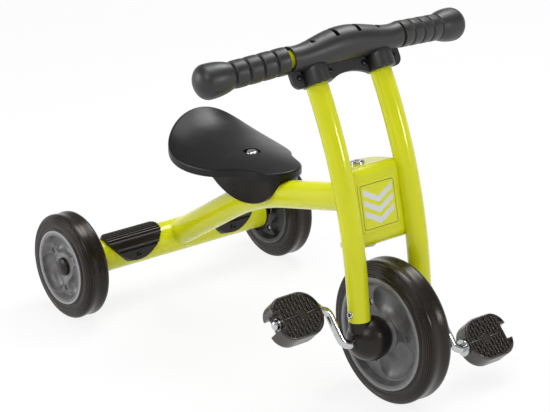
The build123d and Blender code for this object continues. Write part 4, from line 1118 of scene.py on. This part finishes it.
@dataclass
class ScrewSet:
    """Pan-head screws with a cross recess that stand for one packed group.

    Without a direction, each head faces away from the middle plane. The profile gives shares of the head's
    radius and height.
    """

    node: str
    body: str
    slot: Slot
    spots: list[Vector]
    out: Optional[Vector] = None
    radius: float = 4 * MM
    height: float = 2.6 * MM
    profile: tuple[Point2, ...] = ((0.72, 1.0), (0.9, 0.82), (1.0, 0.45), (1.0, 0.0))
    shank: float = 5 * MM
    shank_radius: float = 1.95 * MM
    arm: float = 2.2 * MM
    arm_half: float = 0.55 * MM
    recess: float = 1.3 * MM
    segments: int = 24

    def cross(self) -> list[Point2]:
        """The outline of the recess.

        Returns:
            Its twelve corners in order.
        """
        long, short = self.arm, self.arm_half
        corners = [(short, long), (-short, long), (-short, short)]
        outline = []
        for _ in range(4):
            outline += corners
            corners = [(-y, x) for x, y in corners]
        return outline

    def head(self, blank: Blank, spot: Vector, out: Vector) -> None:
        """Makes one screw: domed head, cross recess and the start of its shank.

        Args:
            blank: The mesh to add to.
            spot: The middle of the head's underside.
            out: The way the head faces.
        """
        mesh = blank.mesh
        place = Matrix.Translation(spot) @ out.to_track_quat("Z", "Y").to_matrix().to_4x4()
        corners = [mesh.verts.new(place @ Vector((x, y, self.height))) for x, y in self.cross()]
        recess = mesh.faces.new(corners)
        circles = [(share * self.radius, level * self.height) for share, level in self.profile]
        circles += [(self.shank_radius, 0.0), (self.shank_radius, -self.shank)]
        rims = [list(recess.edges)]
        for radius, level in circles:
            spin = place @ Matrix.Translation((0.0, 0.0, level))
            rims.append(blank.ring(spin, radius, self.segments, filled=level < 0.0))
        for inner, outer in zip(rims, rims[1:]):
            bmesh.ops.bridge_loops(mesh, edges=inner + outer)
        pressed = bmesh.ops.extrude_face_region(mesh, geom=[recess])
        bottom = [item for item in pressed["geom"] if isinstance(item, bmesh.types.BMVert)]
        bmesh.ops.translate(mesh, vec=out * -self.recess, verts=bottom)
        bmesh.ops.delete(mesh, geom=[recess], context="FACES_ONLY")

    def build(self, wardrobe: "Wardrobe") -> None:
        """Makes all the screws of the set as one piece.

        Args:
            wardrobe: The finishes.
        """
        blank = Blank()
        for spot in self.spots:
            self.head(blank, spot, self.out or Vector((0.0, math.copysign(1.0, spot.y), 0.0)))
        blank.finish(f"{self.node}_heads", self.body, self.slot, wardrobe.made[self.slot], [self.node])


@dataclass
class Wardrobe:
    """The finishes of the tricycle, each made once: by slot, and by node where a node has its own."""

    layout: Layout
    badge: str = "badge_plate"
    made: dict[Slot, bpy.types.Material] = field(default_factory=dict)
    variants: dict[str, bpy.types.Material] = field(default_factory=dict)

    def slot_finishes(self) -> dict[Slot, Finish]:
        """The finish of every slot.

        Returns:
            The finishes by slot.
        """
        low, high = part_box(self.badge)
        zinc_grain = 0.04 * MM
        return {
            Slot.LIME: PowderCoat("lime_coat"),
            Slot.BLACK: MouldedPlastic("black_moulding"),
            Slot.RUBBER: TyreRubber("tyre_rubber"),
            # The hub finish paints a highlight on the lip and shade in the dish.
            Slot.GREY: HubPlastic("grey_hub_moulding", centre=self.layout.front_axle,
                                  lip=self.layout.front_wheel.hub),
            Slot.CHROME: Plated("bright_chrome"),
            Slot.STEEL: Plated("zinc_plate", colour=(0.42, 0.42, 0.43), patch_colour=(0.30, 0.30, 0.31),
                               rough=(0.28, 0.42), grain_depth=zinc_grain),
            Slot.NYLON: MouldedPlastic("white_nylon", colour=(0.62, 0.60, 0.55),
                                       patch_colour=(0.55, 0.53, 0.48), rough=(0.40, 0.5), edge=0.6 * MM,
                                       grain=0.8 * MM, grain_depth=0.03 * MM),
            Slot.LABEL: PrintedLabel("printed_label", centre=(low + high) / 2, rake=self.layout.head_rake),
            Slot.DARK: Plated("blackened_zinc", colour=(0.035, 0.034, 0.034),
                              patch_colour=(0.06, 0.058, 0.057), rough=(0.26, 0.4), grain_depth=zinc_grain),
        }

    def node_finishes(self) -> list[tuple[Finish, list[str]]]:
        """The finishes that certain nodes have for themselves.

        Returns:
            Each finish with its nodes.
        """
        rear = {"centre": self.layout.rear_axle, "lip": self.layout.rear_wheel.hub,
                "lip_width": 3 * MM, "boss": (13 * MM, 22 * MM)}
        outer, inner = ([f"rear_hub_{half}_{side.label}" for side in Side] for half in ("outer", "inner"))
        return [
            (MouldedPlastic("satin_black_moulding", rough=(0.38, 0.46), gloss=0.6, tint=(0.95, 0.98, 1.0)),
             ["bar_cover_front", "bar_cover_rear", "grip_left", "grip_right"]),
            (MouldedPlastic("seat_moulding", colour=(0.0090, 0.0082, 0.0078), rough=(0.28, 0.35),
                            gloss=0.24, tint=(0.96, 0.98, 1.0)), ["seat"]),
            (MouldedPlastic("glossy_black_moulding", rough=(0.22, 0.30), gloss=0.9),
             ["pedal_left", "pedal_right"]),
            # Painted light: the outer rear hubs get a brighter copy of the same hub plastic, with its painted
            # lip highlight and dish shade.
            (HubPlastic("grey_rear_hub_moulding", **rear, pale=(0.320, 0.315, 0.321),
                        patch_colour=(0.225, 0.221, 0.226), colour=(0.120, 0.116, 0.119)), outer),
            # Painted shade: the inner halves of the rear hubs, which face the middle, get a much darker copy
            # of the same plastic.
            (HubPlastic("dark_rear_hub_moulding", **rear, pale=(0.085, 0.086, 0.092),
                        patch_colour=(0.034, 0.034, 0.037), colour=(0.022, 0.022, 0.024)), inner),
            (Plated("dull_bolt_plate", colour=(0.45, 0.45, 0.46), patch_colour=(0.34, 0.34, 0.35),
                    rough=(0.16, 0.24)), ["head_bolt"]),
        ]

    def fill(self) -> None:
        """Makes every finish."""
        for slot, finish in self.slot_finishes().items():
            self.made[slot] = finish.material()
            log.info("finish %s", finish.name)
        for finish, nodes in self.node_finishes():
            self.variants.update(dict.fromkeys(nodes, finish.material()))
            log.info("finish %s for %s", finish.name, ", ".join(nodes))

    def finish_of(self, node: str, slot: Slot) -> bpy.types.Material:
        """The finish of a node: its own variant, or else that of its slot."""
        return self.variants.get(node, self.made[slot])

    def dress(self) -> None:
        """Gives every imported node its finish."""
        for entry in frame["record"]["subparts"]:
            node = frame["nodes"][entry["node"]]
            node.data.materials.clear()
            node.data.materials.append(self.finish_of(entry["node"], Slot(entry["material_slot"])))


@dataclass
class Tricycle:
    """All the detail pieces, set out from the shared layout."""

    layout: Layout
    wardrobe: Wardrobe
    leg_screw_rise: float = 40 * MM
    leg_screw_out: float = 70 * MM
    leg_screw_radius: float = 4.8 * MM
    cover_screw_drop: float = 26 * MM
    cover_screw_lead: float = 3 * MM
    cover_screw_offset: float = 26 * MM
    step_screw_lead: float = 29 * MM
    step_screw_out: float = 88 * MM
    backbone_head: Vector = Vector((173.1, 0.0, 271.0)) * MM
    backbone_rear_slope: float = math.radians(33.0)
    backbone_head_slope: float = math.radians(195.0)
    head_skew: float = math.radians(2.2)
    cross_tube: float = 25 * MM
    head_tube: float = 19 * MM

    def tyres(self) -> list[Tyre]:
        """The three tyres.

        Returns:
            The front one, then the rear pair.
        """
        spots = self.layout
        made = [Tyre("front_tyre", "front_wheel", spots.front_axle, spots.front_wheel)]
        for side in Side:
            centre = spots.at(spots.rear_axle, side, spots.half_track)
            made.append(Tyre(f"rear_tyre_{side.label}", f"{side.label}_rear_wheel", centre, spots.rear_wheel))
        return made

    def screws(self) -> list[ScrewSet]:
        """The screw groups whose heads are in sight.

        Returns:
            One set for each packed group.
        """
        spots = self.layout
        forward = Vector((1.0, 0.0, 0.0))
        leg = spots.front_axle + spots.leg_up * self.leg_screw_rise
        step = spots.rear_axle + forward * self.step_screw_lead
        flange = spots.fork_top - spots.fork_up * self.cover_screw_drop
        flange += spots.fork_front * self.cover_screw_lead
        offsets = (-self.cover_screw_offset, self.cover_screw_offset)
        leg_spots = [spots.at(leg, side, self.leg_screw_out) for side in Side]
        step_spots = [spots.at(step, side, self.step_screw_out) for side in Side]
        cover_spots = [spots.at(flange, side, spots.fork_half_spacing + offset)
                       for side in Side for offset in offsets]
        return [
            ScrewSet("leg_screws", "fork", Slot.CHROME, leg_spots, radius=self.leg_screw_radius),
            ScrewSet("cover_screws", "fork", Slot.DARK, cover_spots, spots.fork_front),
            ScrewSet("step_screws", "frame", Slot.DARK, step_spots, forward),
        ]

    def welds(self) -> list[WeldBead]:
        """The beads at the backbone's two ends.

        Returns:
            The rear one, then the one at the head tube.
        """
        return [
            WeldBead("rear_weld", self.layout.rear_axle, self.backbone_rear_slope, self.cross_tube),
            WeldBead("head_weld", self.backbone_head, self.backbone_head_slope, self.head_tube,
                     upright=True, skew=self.head_skew),
        ]

    def build(self) -> None:
        """Builds every piece in turn."""
        paired = [kind(side, self.layout) for kind in (Grip, CoverSocket, PedalTread) for side in Side]
        for piece in [*self.tyres(), *paired, *self.screws(), *self.welds()]:
            piece.build(self.wardrobe)


@dataclass(frozen=True)
class Softbox:
    """A square soft lamp: where it hangs, its side and its power in watts."""

    name: str
    place: Point3
    size: float
    power: float

    def build(self, aim: Vector) -> None:
        """Hangs the lamp.

        Args:
            aim: The point that it faces.
        """
        data = bpy.data.lights.new(self.name, "AREA")
        data.shape = "SQUARE"
        data.size = self.size
        data.energy = self.power
        lamp = bpy.data.objects.new(self.name, data)
        lamp.location = self.place
        lamp.rotation_euler = (aim - Vector(self.place)).to_track_quat("-Z", "Y").to_euler()
        bpy.context.scene.collection.objects.link(lamp)


@dataclass
class Studio:
    """Floor, backdrop light and lamps."""

    floor_half: float = 20.0
    floor_colour: Colour = (0.86, 0.86, 0.86)
    floor_shade: Colour = (0.8428, 0.8428, 0.8428)
    floor_fibre: float = 3 * MM
    fibre_share: float = 0.2
    floor_glow: float = 0.86
    floor_fade: Point2 = (1.0, 3.5)
    world_light: float = 0.36
    backdrop_top: Point2 = (0.15, 0.32)
    sky_rise: Point2 = (-0.2, 0.9)
    horizon: Colour = (0.62, 0.62, 0.64)
    zenith: Colour = WHITE
    aim: Vector = Vector((0.0, 0.0, 0.22))
    lamps: tuple[Softbox, ...] = (
        Softbox("key_softbox", (1.0, -1.7, 2.2), 1.1, 19.0),
        Softbox("top_softbox", (-0.2, 0.2, 2.5), 1.3, 23.0),
        Softbox("back_softbox", (-0.5, 1.5, 2.4), 1.0, 30.0),
        Softbox("side_softbox", (-1.5, -2.1, 0.9), 0.9, 21.0),
        Softbox("front_softbox", (2.4, 0.85, 1.25), 0.42, 13.0),
    )

    def build(self) -> None:
        """Makes the floor, the world and the lamps."""
        self._floor()
        self._world()
        for lamp in self.lamps:
            lamp.build(self.aim)
        log.info("studio with %d lamps", len(self.lamps))

    def _floor(self) -> None:
        """A wide pale floor that shows the shadow."""
        mesh = bmesh.new()
        bmesh.ops.create_grid(mesh, x_segments=1, y_segments=1, size=self.floor_half)
        data = bpy.data.meshes.new("floor")
        mesh.to_mesh(data)
        mesh.free()
        data.materials.append(self._paper())
        floor = bpy.data.objects.new("floor", data)
        bpy.context.scene.collection.objects.link(floor)

    def _paper(self) -> bpy.types.Material:
        """The floor's material: pale paper that glows towards the camera, and fades to white far out.

        Returns:
            The new material.
        """
        material = bpy.data.materials.new("floor_paper")
        material.use_nodes = True
        graph = Graph(material.node_tree)
        fibre = graph.noise(self.floor_fibre)
        tone = graph.blend(fibre * self.fibre_share, self.floor_colour, self.floor_shade)
        paper = graph.node("ShaderNodeBsdfDiffuse", inputs={"Color": tone})
        glow = graph.node("ShaderNodeEmission", inputs={"Color": WHITE, "Strength": 1.0})
        along, across, _ = graph.axes()
        reach = (along * along + across * across).sqrt()
        share = self._seen(graph) * reach.ease(*self.floor_fade, self.floor_glow, 1.0)
        mixed = graph.mix_shaders(share, paper, glow)
        graph.node("ShaderNodeOutputMaterial", inputs={"Surface": mixed})
        return material

    def _seen(self, graph: Graph) -> Sock:
        """Tells rays that show a surface, straight or in a mirror, from those that light it.

        Args:
            graph: The node tree that asks.

        Returns:
            One for rays that show, and zero for the others.
        """
        path = graph.node("ShaderNodeLightPath")
        mirrored = path.out("Is Glossy Ray").most(path.out("Is Transmission Ray"))
        return path.out("Is Camera Ray").most(mirrored)

    def _world(self) -> None:
        """A white backdrop all round, under an even pale ceiling that gives soft light."""
        world = bpy.data.worlds.new("studio_air")
        bpy.context.scene.world = world
        world.use_nodes = True
        graph = Graph(world.node_tree)
        facing = graph.node("ShaderNodeTexCoord").out("Generated")
        rise = graph.node("ShaderNodeSeparateXYZ", inputs={0: facing}).out("Z")
        tone = graph.blend(rise.ease(*self.sky_rise), self.horizon, self.zenith)
        air = graph.node("ShaderNodeBackground", inputs={"Color": tone, "Strength": self.world_light})
        white = graph.node("ShaderNodeBackground", inputs={"Color": WHITE, "Strength": 1.0})
        backdrop = self._seen(graph) * rise.ease(*self.backdrop_top, 1.0, 0.0)
        mixed = graph.mix_shaders(backdrop, air, white)
        graph.node("ShaderNodeOutputWorld", inputs={"Surface": mixed})


@dataclass
class PhotoCamera:
    """The camera that took the photograph, as measured from the wheels and tubes."""

    azimuth: float = math.radians(52.587)
    elevation: float = math.radians(20.833)
    roll: float = math.radians(-0.289)
    distance: float = 2907.87 * MM
    target: Vector = Vector((-78.68, 0.0, 213.08)) * MM
    focal_px: float = 2011.48
    centre_px: Point2 = (247.81, 185.72)
    image_px: tuple[int, int] = (550, 412)
    sensor: float = 36.0
    clip: Point2 = (0.05, 50.0)

    def placing(self) -> Matrix:
        """Where the camera stands and how it is turned.

        Returns:
            The matrix of its place, with Z pointing back from what it sees.
        """
        flat = math.cos(self.elevation)
        aside, ahead = math.sin(self.azimuth), math.cos(self.azimuth)
        back = Vector((aside * flat, -ahead * flat, math.sin(self.elevation)))
        right = Vector((ahead, aside, 0.0))
        up = back.cross(right)
        right_rolled = right * math.cos(self.roll) + up * math.sin(self.roll)
        up_rolled = up * math.cos(self.roll) - right * math.sin(self.roll)
        turn = Matrix((right_rolled, up_rolled, back)).transposed().to_4x4()
        return Matrix.Translation(self.target + back * self.distance) @ turn

    def build(self) -> None:
        """Makes the camera with the photograph's lens and gives it to the scene."""
        data = bpy.data.cameras.new("photo_camera")
        width, height = self.image_px
        data.sensor_width = self.sensor
        data.lens = self.focal_px * self.sensor / width
        data.shift_x = (width / 2 - self.centre_px[0]) / width
        data.shift_y = (self.centre_px[1] - height / 2) / width
        data.clip_start, data.clip_end = self.clip
        camera = bpy.data.objects.new("photo_camera", data)
        camera.matrix_world = self.placing()
        bpy.context.scene.collection.objects.link(camera)
        bpy.context.scene.camera = camera


def main() -> None:
    """Builds the scene in order: finishes, pieces, studio, camera."""
    logging.basicConfig(level=logging.INFO, format="%(name)s: %(message)s")
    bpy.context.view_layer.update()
    bpy.context.scene.view_settings.view_transform = "Standard"
    layout = Layout()
    wardrobe = Wardrobe(layout)
    wardrobe.fill()
    wardrobe.dress()
    Tricycle(layout, wardrobe).build()
    Studio().build()
    PhotoCamera().build()


if __name__ == "__main__":
    main()
